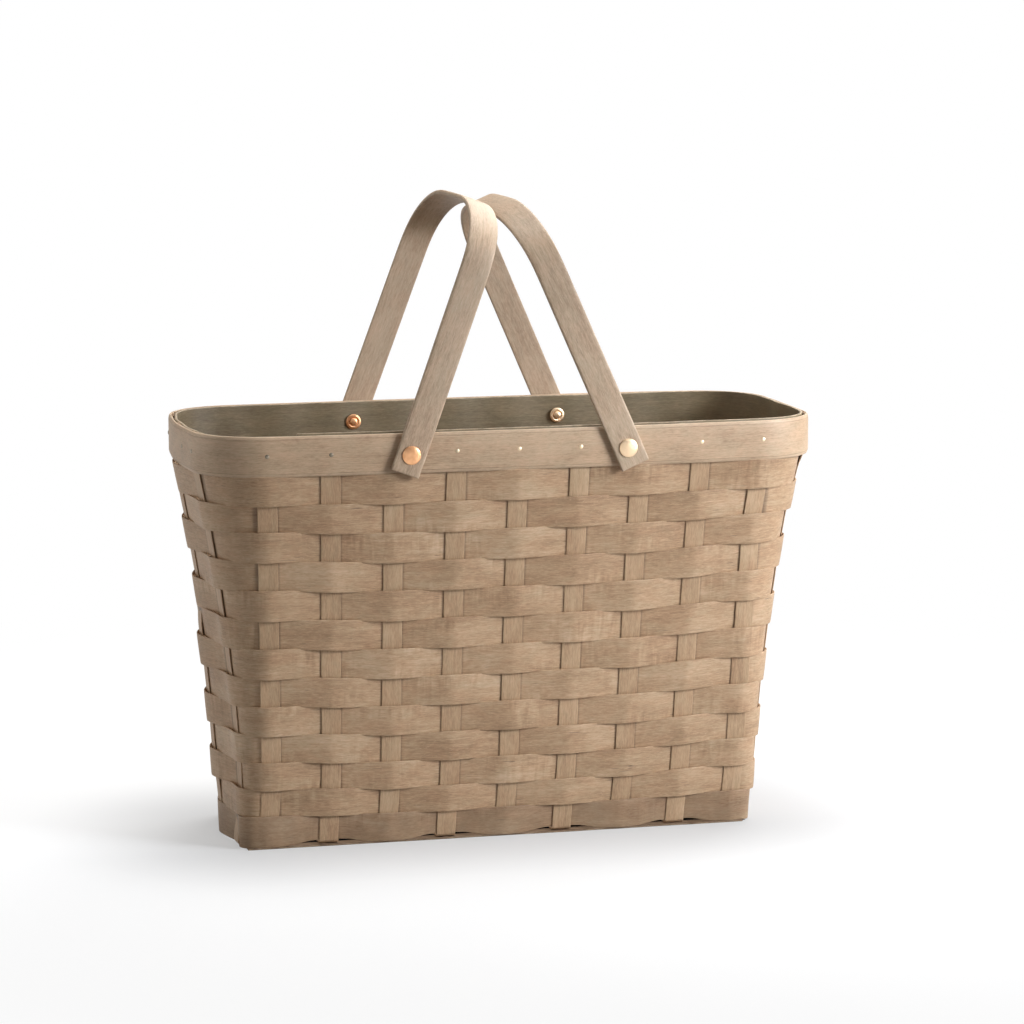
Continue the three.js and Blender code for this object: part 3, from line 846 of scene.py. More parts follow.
class ShaderKit:
    """Node groups that several finishes share."""

    def __init__(self) -> None:
        """Builds each group once."""
        self.splint = self._splint_group()
        self.wear = self._wear_group()
        self.line = self._line_group()

    def _splint_group(self) -> bpy.types.NodeTree:
        """Stained split wood: long fibres, soft blotches, pale flecks, dark dashes and ripples.

        Each layer is given by the length and width of its spots in metres, an offset that sets it
        apart from the others, and the detail, roughness and distortion of its noise.

        Returns:
            The group.
        """
        canvas, given = new_group("stained_splint", "ShaderNodeTree", {
            "Grain": "Vector", "Tone": 0.0, "Light": (0.5, 0.4, 0.3), "Middle": (0.4, 0.3, 0.2),
            "Dark": (0.2, 0.15, 0.1), "Fibre Width": 0.0009, "Fibre Length": 0.03, "Streaks": 0.5,
            "Flecks": 0.4, "Dashes": 0.5, "Ripples": 0.4, "Mottle": 0.3})
        along, over, _ = canvas.split(given["Grain"])
        shift = given["Tone"] * 13.7
        over = over + canvas.noise(canvas.combine(along * 9.0, shift, 0.0), 1.0) * 0.0035

        def layer(length: object, width: object, offset: float, detail: float = 1.0,
                  roughness: float = 0.5, distortion: float = 0.0) -> Signal:
            """Noise whose spots have a length along and a width across the fibres."""
            place = canvas.combine(along / length, over / width, shift + offset)
            return canvas.noise(place, detail, roughness, distortion)

        streak = layer(given["Fibre Length"], given["Fibre Width"], 0.0, 3.0, 0.6)
        broad = layer(0.07, given["Fibre Width"] * 4.2, 4.0, 2.0, 0.5, 0.3)
        fine = layer(0.0045, 0.00045, 8.0, 2.0, 0.65)
        blotch = layer(0.034, 0.017, 12.0, 3.0, 0.55, 0.4)
        patch = layer(0.15, 0.05, 16.0, 2.0)
        fleck = layer(0.0022, 0.0007, 20.0).ramp(0.63, 0.74)
        dash = layer(0.013, 0.00075, 24.0).ramp(0.7, 0.76) * layer(0.03, 0.01, 28.0).ramp(0.55, 0.62)
        curl = layer(0.0042, 0.03, 32.0, 1.5, 0.5, 0.8) - 0.5
        curl = curl * layer(0.05, 0.03, 36.0).ramp(0.5, 0.68)
        mottle = layer(0.0052, 0.0011, 40.0, 3.0, 0.7, 0.5)
        drift = layer(0.02, 0.01, 44.0, 3.0, 0.6, 0.6)

        value = (streak - 0.5) * given["Streaks"]
        for part, strength in (
                (broad, 0.3), (fine, 0.7), (blotch, 0.6), (patch, 0.6), (mottle, given["Mottle"])):
            value = value + (part - 0.5) * strength
        value = value + curl * given["Ripples"] + 0.5
        colour = canvas.mix(value.ramp(0.5, 0.92), given["Middle"], given["Light"])
        colour = canvas.mix(value.ramp(0.5, 0.1), colour, given["Dark"])
        warm = canvas.mix(drift.ramp(0.34, 0.66), srgb(247, 249, 247), srgb(255, 251, 248))
        colour = canvas.mix(1.0, colour, warm, "MULTIPLY")
        colour = canvas.mix(fleck * given["Flecks"], colour, given["Light"])
        colour = canvas.mix(dash * given["Dashes"], colour, srgb(72, 50, 34))
        return canvas.close(
            Color=colour, Roughness=streak.ramp(0.3, 0.7, 0.48, 0.62),
            Height=streak * 0.6 + fine * 0.4 - dash * 0.8)

    def _wear_group(self) -> bpy.types.NodeTree:
        """Pale edges and darkening: pale where an edge is rubbed, partly wear and partly a painted edge
        highlight; darker by a mask, painted shade on wood where a piece is tucked in or lies low, tarnish on
        metal.

        Returns:
            The group.
        """
        canvas, given = new_group("edge_wear", "ShaderNodeTree", {
            "Color": (0.5, 0.5, 0.5), "Edge": 0.0, "Tuck": 0.0, "Place": "Vector",
            "Rubbed": (0.7, 0.6, 0.5), "Grime": (0.1, 0.08, 0.06), "Edge Start": 0.97, "Wear": 0.6,
            "Grime Amount": 0.3})
        breaks = canvas.noise(given["Place"], 3.0, 0.6, scale=140.0).ramp(0.35, 0.62)
        # Pale edges: partly rubbed wear, partly a painted edge highlight.
        mask = given["Edge"].ramp(given["Edge Start"], 1.0) * breaks * given["Wear"]
        patches = canvas.noise(given["Place"], scale=60.0).ramp(0.3, 0.7, 0.6, 1.0)
        # Darkening by the mask: painted shade on wood, tarnish on metal.
        grime = given["Tuck"] * patches * given["Grime Amount"]
        colour = canvas.mix(mask, given["Color"], given["Rubbed"])
        return canvas.close(Color=canvas.mix(grime, colour, given["Grime"]))

    def _line_group(self) -> bpy.types.NodeTree:
        """A painted shade line along both long edges, where the eased edge of a band starts, with a faint
        painted highlight on the eased strip beyond it.

        Returns:
            The group.
        """
        canvas, given = new_group("shaved_edge_line", "ShaderNodeTree", {
            "Color": (0.5, 0.5, 0.5), "Place": "Vector", "Height": 1.0, "Width": 0.00045, "Strength": 0.5})
        along, over, _ = canvas.split(given["Place"])
        sway = canvas.noise(canvas.combine(along * 14.0, 3.0, 0.0), 3.0)
        height = given["Height"] + (sway - 0.5) * 0.0012
        line = abs(abs(over) - height).ramp(given["Width"], 0.0)
        breaks = canvas.noise(given["Place"], 3.0, 0.6, scale=45.0).ramp(0.3, 0.6, 0.25, 1.0)
        amount = line * breaks * given["Strength"]
        # Painted shade line where the eased edge starts, with a faint painted highlight on the strip beyond
        # it.
        painted_bevel_shade = canvas.mix(1.0, given["Color"], srgb(150, 130, 112), "MULTIPLY")
        beyond = abs(over).ramp(height, height + 0.0005)
        painted_bevel_highlight = canvas.mix(beyond * 0.07, given["Color"], srgb(236, 218, 194))
        return canvas.close(Color=canvas.mix(amount, painted_bevel_highlight, painted_bevel_shade))


def finish_material(name: str, draw: Callable[[NodeCanvas], dict[str, object]]) -> bpy.types.Material:
    """Makes a material with a Principled shader.

    Args:
        name: Name of the material.
        draw: Draws the nodes and gives the shader's inputs.

    Returns:
        The material.
    """
    material = bpy.data.materials.new(name)
    canvas = clear_canvas(material)
    shader = canvas.wire("ShaderNodeBsdfPrincipled", draw(canvas))
    canvas.node("ShaderNodeOutputMaterial", {"Surface": shader})
    return material


@dataclass(frozen=True)
class WoodFinish:
    """A stained wood finish with its colours and the scale of its fibres."""

    name: str
    light: Colour
    middle: Colour
    dark: Colour
    fibre_width: float = 0.7 * MM
    fibre_length: float = 16 * MM
    streaks: float = 0.55
    flecks: float = 0.35
    dashes: float = 0.7
    ripples: float = 0.7
    mottle: float = 0.6
    line_height: float = 1.0
    # Pale edges stand partly for rubbed wear and partly for a painted edge highlight.
    wear: float = 0.55
    edge_start: float = 0.985
    rubbed: Colour = srgb(208, 182, 150)
    # The darkening colour and its amount are painted shade, laid where the tuck mask is set.
    grime: Colour = srgb(70, 49, 33)
    grime_amount: float = 0.75
    inner_tone: float = 0.9
    sheen: float = 0.6
    relief: float = 0.12 * MM

    def build(self, kit: ShaderKit) -> bpy.types.Material:
        """Makes the material from the shared node groups."""
        return finish_material(self.name, lambda canvas: self.draw(canvas, kit))

    def draw(self, canvas: NodeCanvas, kit: ShaderKit) -> dict[str, object]:
        """Draws the nodes.

        Args:
            canvas: Canvas of the material.
            kit: The shared node groups.

        Returns:
            The shader's inputs.
        """
        grain = canvas.attribute("grain", "Vector")
        values = titled(vars(self)) | {"Grain": grain, "Place": grain}
        values |= {name.title(): canvas.attribute(name) for name in ("tone", "edge", "tuck")}
        wood = canvas.group(kit.splint, values)
        edged_and_darkened = canvas.group(kit.wear, values | {"Color": wood["Color"]})
        bump = canvas.wire("ShaderNodeBump", {
            "Height": wood["Height"], "Strength": 0.6, "Distance": self.relief})
        lined = canvas.group(kit.line, {
            "Color": edged_and_darkened["Color"], "Place": grain, "Height": self.line_height})
        # Painted shade: faces turned into the basket are darker by this share.
        inner = canvas.split(grain)[2].ramp(-0.1 * MM, 0.1 * MM, self.inner_tone, 1.0)
        return {
            "Base Color": canvas.vector("SCALE", lined["Color"], inner), "Roughness": wood["Roughness"],
            "Normal": bump, "Specular IOR Level": self.sheen}


@dataclass(frozen=True)
class MetalFinish:
    """A metal finish with hammer marks and tarnish, and a painted highlight that makes it paler towards the
    right end.
    """

    name: str
    bright: Colour
    tarnish: Colour
    roughness: float
    mark_scale: float
    relief: float
    fresh: float

    def build(self, kit: ShaderKit) -> bpy.types.Material:
        """Makes the material from the shared node groups."""
        return finish_material(self.name, lambda canvas: self.draw(canvas, kit))

    def draw(self, canvas: NodeCanvas, kit: ShaderKit) -> dict[str, object]:
        """Draws the nodes.

        Args:
            canvas: Canvas of the material.
            kit: The shared node groups.

        Returns:
            The shader's inputs.
        """
        place = canvas.wire("ShaderNodeTexCoord", {}, "Object")
        marks = canvas.noise(place, 3.0, 0.6, 0.5, self.mark_scale)
        cloud = canvas.noise(place, scale=self.mark_scale * 0.35)
        edged_and_darkened = canvas.group(kit.wear, {
            "Color": self.bright, "Tuck": cloud.ramp(0.42, 0.66), "Place": place, "Grime": self.tarnish,
            "Grime Amount": 0.75})
        # Painted highlight: towards the right end, where the key light falls, the metal is mixed with a pale
        # cream.
        right_end_highlight_mask = canvas.split(place)[0].ramp(-0.07, -0.03, 0.0, self.fresh)
        return {
            "Base Color": canvas.mix(right_end_highlight_mask, edged_and_darkened["Color"], srgb(255, 232, 196)),
            "Roughness": marks.ramp(0.3, 0.7, self.roughness - 0.08, self.roughness + 0.12),
            "Normal": canvas.wire("ShaderNodeBump", {
                "Height": marks, "Strength": 0.5, "Distance": self.relief}),
            "Metallic": 1.0}


class Finish(Enum):
    """Every finish on the basket, with the record's slot that it belongs to."""

    WEAVER = "weaver_splint"
    STAKE = "stake_splint"
    BASE = "base_splint"
    BAND = "rim_band"
    INNER_BAND = "rim_band_inside"
    HANDLE = "handle_wood"
    COPPER = "rivet_copper"
    STEEL = "nail_steel"

    @property
    def slot(self) -> str:
        """The record's material slot, which both bands share."""
        return "rim_band" if self is Finish.INNER_BAND else self.value


RECIPES = {
    Finish.WEAVER: WoodFinish(
        "weaver_splint_wood", srgb(216, 188, 156), srgb(189, 155, 121), srgb(149, 114, 84), wear=0.3),
    Finish.STAKE: WoodFinish(
        "stake_splint_wood", srgb(214, 184, 150), srgb(191, 158, 124), srgb(154, 120, 90),
        fibre_width=0.55 * MM, flecks=0.2, dashes=0.3, ripples=0.1, wear=0.2),
    Finish.BASE: WoodFinish(
        "base_splint_wood", srgb(196, 172, 144), srgb(168, 142, 116), srgb(124, 98, 76), sheen=0.25),
    # The band's line_height places its painted bevel shade line.
    Finish.BAND: WoodFinish(
        "rim_band_wood", srgb(222, 194, 163), srgb(201, 171, 140), srgb(164, 132, 104),
        fibre_width=0.5 * MM, fibre_length=22 * MM, flecks=0.2, ripples=0.12, wear=0.9, edge_start=0.99,
        dashes=0.3, line_height=12.1 * MM),
    # The inside band is darker than the outer one, partly its own colour and partly painted shade inside the
    # basket.
    Finish.INNER_BAND: WoodFinish(
        "rim_band_inside_wood", srgb(157, 141, 111), srgb(131, 116, 89), srgb(100, 86, 63),
        fibre_width=0.6 * MM, fibre_length=24 * MM, flecks=0.25, ripples=0.1, wear=0.95,
        edge_start=0.96, dashes=0.5, grime_amount=0.1),
    Finish.HANDLE: WoodFinish(
        "handle_wood", srgb(221, 198, 172), srgb(200, 174, 147), srgb(163, 136, 111),
        fibre_width=0.6 * MM, fibre_length=18 * MM, streaks=0.45, flecks=0.3, ripples=0.3, wear=0.5,
        edge_start=0.97, dashes=0.35, mottle=0.7, inner_tone=0.85, sheen=0.55),
    Finish.COPPER: MetalFinish(
        "hammered_copper", srgb(246, 190, 142), srgb(204, 132, 88), roughness=0.4, mark_scale=420.0,
        relief=0.4 * MM, fresh=0.75),
    Finish.STEEL: MetalFinish(
        "dull_steel", srgb(150, 140, 124), srgb(84, 72, 58), roughness=0.45, mark_scale=700.0,
        relief=0.2 * MM, fresh=0.85),
}


class Workshop:
    """Holds the trees and materials, and parents finished pieces to their bodies."""

    def __init__(self) -> None:
        """Builds the trees and every finish once."""
        self.settling = Settling()
        self.splints = SplintTree()
        self.fasteners = FastenerTree()
        kit = ShaderKit()
        self.materials = {finish: recipe.build(kit) for finish, recipe in RECIPES.items()}

    def splint(self, node: str, path: SplintPath, sizes: SplintSizes, finish: Finish, seed: float,
               body: str = "basket", kind: str = "splint") -> None:
        """Makes a splint in place of a node and hands it over.

        Args:
            node: Node that it stands for.
            path: Its middle line.
            sizes: Its section.
            finish: Its finish.
            seed: Number for its own unevenness and grain.
            body: Body that it rides on.
            kind: Last word of its name.
        """
        settling = self.settling if body == "basket" else None
        piece = self.splints.weave(f"{node}_{kind}", path, sizes, self.materials[finish], seed, settling)
        self.hand_over(piece, finish, [node], body)

    def fasten(self, name: str, seats: Sequence[tuple[Sequence[float], Sequence[float]]],
               form: bpy.types.Object, finish: Finish, seed: int, nodes: Iterable[str]) -> None:
        """Sets fasteners in place of their nodes and hands them over as one piece.

        Args:
            name: Name of the piece.
            seats: Where each one goes and which way it faces.
            form: The shape to repeat, which is used up.
            finish: Their finish.
            seed: Number for the small differences between them.
            nodes: Nodes that they stand for.
        """
        mesh = bpy.data.meshes.new(name)
        mesh.from_pydata([tuple(point) for point, _ in seats], [], [])
        outward = mesh.attributes.new("outward", "FLOAT_VECTOR", "POINT")
        outward.data.foreach_set("vector", np.array([tuple(way) for _, way in seats]).ravel())
        values = {"Fastener": form, "Seed": seed, "Material": self.materials[finish]}
        piece = run_tree(link_object(name, mesh), self.fasteners.tree, values)
        bpy.data.objects.remove(form)
        merge_close(piece.data)
        self.hand_over(piece, finish, nodes, "basket")

    @staticmethod
    def hand_over(piece: bpy.types.Object, finish: Finish, nodes: Iterable[str], body: str) -> None:
        """Lets a piece ride on its body in place of its nodes.

        Args:
            piece: The piece.
            finish: Its finish; not used.
            nodes: Nodes that it stands for.
            body: Body that it rides on.
        """
        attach(piece, body)
        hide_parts(*nodes)
        log.info("%s: %d faces on %s", piece.name, len(piece.data.polygons), body)


@dataclass
class WovenWalls:
    """Weaver rows that run round the basket, and the stakes they pass."""

    shape: BasketShape
    out_wave: float = 2.8 * MM
    in_wave: float = 0.88 * MM
    in_dwell: float = 0.155
    out_dwell: float = 0.03
    round_off: float = 0.06
    bulge_share: float = 0.034
    out_lift: float = 0.4 * MM
    row_gap: float = -0.5 * MM
    last_row_dip: float = 2.7 * MM
    corner_dip: float = 3.45 * MM
    last_row_shade: float = 0.5
    stake_width: float = 14.2 * MM
    stake_thickness: float = 0.85 * MM
    lap_counts: float = 0.14
    lap_shift: float = 1.25 * MM
    steps: int = 30
    stake_step: float = 3 * MM
    stake_sway: float = 0.12 * MM
    stake_drop: float = 0.6 * MM
    sway_fade: float = 8 * MM
    heel_steps: int = 6
    heel_inset: float = 4 * MM
    climb: float = 3.2 * MM
    climb_shares: tuple[float, float] = (0.42, 0.86)
    dip_shares: tuple[float, float] = (0.12, 0.75)
    corner_shares: tuple[float, float] = (0.9, 0.985)
    tuck_shares: tuple[float, float] = (0.012, 0.055)
    lap_first: int = 12
    lap_stride: int = 5
    lap_range: int = 9
    row_seed_step: float = 1.37
    stake_seeds: tuple[float, float] = (31, 1.7)
    long_stake_seeds: tuple[float, float] = (57, 2.3)

    def rows(self) -> list[tuple[float, float]]:
        """Lower and upper edge of each row, from the rim down.

        Returns:
            The edges.
        """
        shape = self.shape
        shares = [1 - shape.row_taper_share * (row / shape.rows) ** shape.row_taper_power
                  for row in range(1, shape.rows + 1)]
        widest = (shape.wall_height - shape.heel_top) / sum(shares)
        edges = []
        high = shape.wall_height - shape.gap
        for share in shares:
            low = high - widest * share + shape.gap
            edges.append((low, high))
            high = low - shape.gap
        return edges

    def corner_rise(self, count: float, height: float) -> float:
        """How far a weaver climbs towards the corners of the flared wall.

        Args:
            count: Stakes passed since the first one of the front side.
            height: Height above the floor.

        Returns:
            The rise.
        """
        share = height / self.shape.wall_height
        level = smooth_step(0.0, 0.14, share) * (1 - smooth_step(0.8, 1.0, share))
        return self.climb * level * smooth_step(*self.climb_shares, self.shape.corner_share(height, count))

    def dip_at(self, count: float, height: float, out: float) -> float:
        """How far the lower edge of the last row hangs below its line, where a weaver lies out."""
        corner = self.corner_dip * smooth_step(*self.corner_shares, self.shape.corner_share(height, count))
        return max(self.last_row_dip * smooth_step(*self.dip_shares, out), corner)

    def out_share(self, turns: float) -> float:
        """How far out a weaver lies, from behind a stake to over the next one.

        Args:
            turns: Count of stakes, where each even number lies behind a stake.

        Returns:
            A share from 0 to 1.
        """
        total = 0.0
        weights = (1, 2, 3, 2, 1)
        for place, weight in enumerate(weights):
            at = turns + self.round_off * (place - 2) / 2
            away = 1 - abs((at % 2) - 1)
            share = (away - self.in_dwell) / (1 - self.in_dwell - self.out_dwell)
            total += weight * min(max(share, 0.0), 1.0)
        return total / sum(weights)

    def weaver_path(self, row: int, low: float, high: float) -> SplintPath:
        """Middle line of one row, which starts and ends in a short lap behind a back stake.

        Args:
            row: Number of the row, from the rim down.
            low: Its lower edge.
            high: Its upper edge.

        Returns:
            The path.
        """
        shape = self.shape
        last_row = row == shape.rows
        first = self.lap_first + row * self.lap_stride % self.lap_range
        first += (first + row) % 2
        path = SplintPath()
        start, end = first - self.lap_counts, first + len(shape.stake_counts) + self.lap_counts
        for count in steps_between(start, end, int((end - start) * self.steps)):
            out = self.out_share(count + row)
            dip = self.dip_at(count, low, out) if last_row else 0.0
            lower, _, _ = shape.round_place(low - dip + self.corner_rise(count, low), count)
            upper, travel, _ = shape.round_place(high + self.corner_rise(count, high), count)
            width = float(np.linalg.norm(upper - lower))
            across = (upper - lower) / width
            face = unit(np.cross(travel, across))
            lap = self.lap_shift * smooth_step(end - 4 * self.lap_counts, end - 2.2 * self.lap_counts, count)
            offset = -self.in_wave + (self.in_wave + self.out_wave) * out - lap
            point = (lower + upper) / 2 + face * offset + across * self.out_lift * out
            # Painted shade: darker where the weaver is tucked behind a stake, and the whole last row darker,
            # shade low on the wall.
            tuck = 1 - smooth_step(*self.tuck_shares, out)
            tuck = max(tuck, self.last_row_shade) if last_row else tuck
            path.add(point, across, face, tuck=tuck,
                     spread=width / (high - low) * (1 + self.bulge_share * out))
        path.close_ends(SPLINT_BEVEL)
        return path

    def stake_side(self, side: int, stake: int, edges: Sequence[tuple[float, float]],
                   flip: float) -> list[PathPlace]:
        """The wall part of a stake, from its top in the rim to the end of its heel.

        Args:
            side: Number of the side.
            stake: Number of the stake on that side.
            edges: Lower and upper edge of each row.
            flip: 1 or -1, so that the width runs one way along the whole stake.

        Returns:
            The places from the top down.
        """
        shape = self.shape
        count = shape.stake_counts.index((side, stake))
        path = SplintPath()
        top = shape.height - self.stake_drop
        depths = [-(low + high) / 2 for low, high in edges]
        for height in steps_between(top, shape.heel_top, int((top - shape.heel_top) / self.stake_step)):
            point, travel, outward = shape.round_place(height, count)
            sway = 0.0
            if height < shape.wall_height:
                row = float(np.interp(-height, depths, range(1, shape.rows + 1)))
                sway = self.stake_sway * math.cos(math.pi * (count + row))
                sway *= smooth_step(shape.heel_top, shape.heel_top + self.sway_fade, height)
            above, _, _ = shape.round_place(height + MM, count)
            below, _, _ = shape.round_place(height - MM, count)
            face = unit(np.cross(unit(below - above), travel))
            face = -face if face @ outward < 0 else face
            path.add(point + face * sway, travel * flip, face)
        point, travel, outward = shape.round_place(shape.heel_top, count)
        for angle in steps_between(0.0, QUARTER, self.heel_steps)[1:]:
            through = outward * math.cos(angle) + np.array([0.0, 0.0, -math.sin(angle)])
            centre = point - outward * shape.heel_radius + through * shape.heel_radius
            path.add(centre, travel * flip, through)
        return path.places

    def build(self, shop: Workshop) -> None:
        """Makes every weaver row and every stake.

        Args:
            shop: The workshop.
        """
        shape = self.shape
        edges = self.rows()
        for row, (low, high) in enumerate(edges, start=1):
            sizes = SplintSizes(
                width=high - low + shape.gap - self.row_gap, thickness=shape.weaver_thickness,
                crown=0.1 * MM, squareness=0.15, wander=0.16 * MM, wander_length=90 * MM)
            path = self.weaver_path(row, low, high)
            shop.splint(f"weaver_row_{row:02d}", path, sizes, Finish.WEAVER, row * self.row_seed_step)
        sizes = SplintSizes(
            width=self.stake_width, thickness=self.stake_thickness, crown=0.06 * MM, squareness=0.16,
            wander=0.3 * MM, wander_length=90 * MM)
        for label, last, sides, (seed, seed_step) in (
                ("cross", shape.last_side_stake, (Side.FRONT, Side.BACK), self.stake_seeds),
                ("long", shape.last_end_stake, (Side.LEFT, Side.RIGHT), self.long_stake_seeds)):
            for place, stake in enumerate(range(-last, last + 1), start=1):
                turned = stake if label == "cross" else -stake
                first = self.stake_side(sides[0].value, turned, edges, 1.0)
                second = self.stake_side(sides[1].value, -turned, edges, -1.0)
                extent = shape.base_half_length - self.heel_inset
                middle = base_run(shape, stake * shape.end_pitch, 1, extent) if label == "long" else []
                path = self.join([*first, *middle, *second[::-1]])
                shop.splint(f"{label}_stake_{place}", path, sizes, Finish.STAKE, seed + place * seed_step)

    @staticmethod
    def join(places: list[PathPlace], closest: float = 0.05 * MM, widest: float = 6 * MM) -> SplintPath:
        """Evens out the spacing of a joined path and closes its ends.

        Args:
            places: The places of both wall parts and the part between them.
            closest: Places nearer than this to the last one are left out.
            widest: Longer steps are filled in.

        Returns:
            The whole path.
        """
        path = SplintPath()
        for before, place in zip([None, *places], places):
            if path.places:
                distance = float(np.linalg.norm(place.point - path.places[-1].point))
                if distance < closest:
                    continue
                extra = int(distance / widest)
                for step in range(1, extra + 1):
                    between = before.point + (place.point - before.point) * step / (extra + 1)
                    path.add(between, place.across, place.outward)
            path.places.append(place)
        path.close_ends(SPLINT_BEVEL)
        return path


def base_run(shape: BasketShape, across_place: float, parity: int, extent: float) -> list[PathPlace]:
    """Middle line of a splint that weaves along the base, over and under the cross stakes.

    Args:
        shape: The basket's shared sizes.
        across_place: Its place across the base.
        parity: 0 or 1, which sets where it passes over.
        extent: Distance from the middle to each end.

    Returns:
        The places from left to right.
    """
    places = []
    last = (shape.last_side_stake + 0.2) * shape.side_pitch
    for x in steps_between(-extent, extent, int(2 * extent / (3 * MM))):
        wave = math.cos(math.pi * (x / shape.side_pitch + parity))
        level = 1 - smooth_step(last, extent + 0.1 * MM, abs(x)) if parity else 1.0
        height = shape.base_middle + shape.base_wave * wave * level
        # Painted shade: the base splints are darker by a fixed share, shade under the basket.
        places.append(PathPlace(np.array([x, across_place, height]), FORWARDS, DOWN, tuck=0.3))
    return places


@dataclass
class WovenBase:
    """Fillers between the long stakes, and the thin splints under the long edges."""

    shape: BasketShape
    overhang: float = 1.8 * MM
    end_reach: float = 2.5 * MM
    side_gap: float = 0.6 * MM
    filler_gap: float = 0.8 * MM
    step: float = 4 * MM
    shade: float = 0.5

    def build(self, shop: Workshop) -> None:
        """Makes the four splints.

        Args:
            shop: The workshop.
        """
        shape = self.shape
        extent = shape.last_side_stake * shape.side_pitch + shape.stake_width / 2
        extent += self.side_gap + self.end_reach
        inner = shape.end_pitch + shape.stake_width / 2 + self.side_gap
        outer = shape.base_half_width + self.overhang
        thickness = shape.stake_thickness
        filler = SplintSizes(shape.end_pitch - shape.stake_width - self.filler_gap, thickness, 0.2)
        strip = SplintSizes(outer - inner, thickness, 0.24)
        for label, sign, seed in (("front", -1, 71.0), ("back", 1, 77.0)):
            path = SplintPath(base_run(shape, sign * shape.end_pitch / 2, 0, extent))
            path.close_ends(SPLINT_BEVEL)
            shop.splint(f"base_filler_{label}", path, filler, Finish.BASE, seed)
            path = SplintPath()
            for x in steps_between(-extent, extent, int(2 * extent / self.step)):
                middle = np.array([x, sign * (outer + inner) / 2, thickness / 2])
                path.add(middle, FORWARDS, DOWN, tuck=self.shade)
            path.close_ends(SPLINT_BEVEL)
            shop.splint(f"base_edge_splint_{label}", path, strip, Finish.BASE, seed + 2)


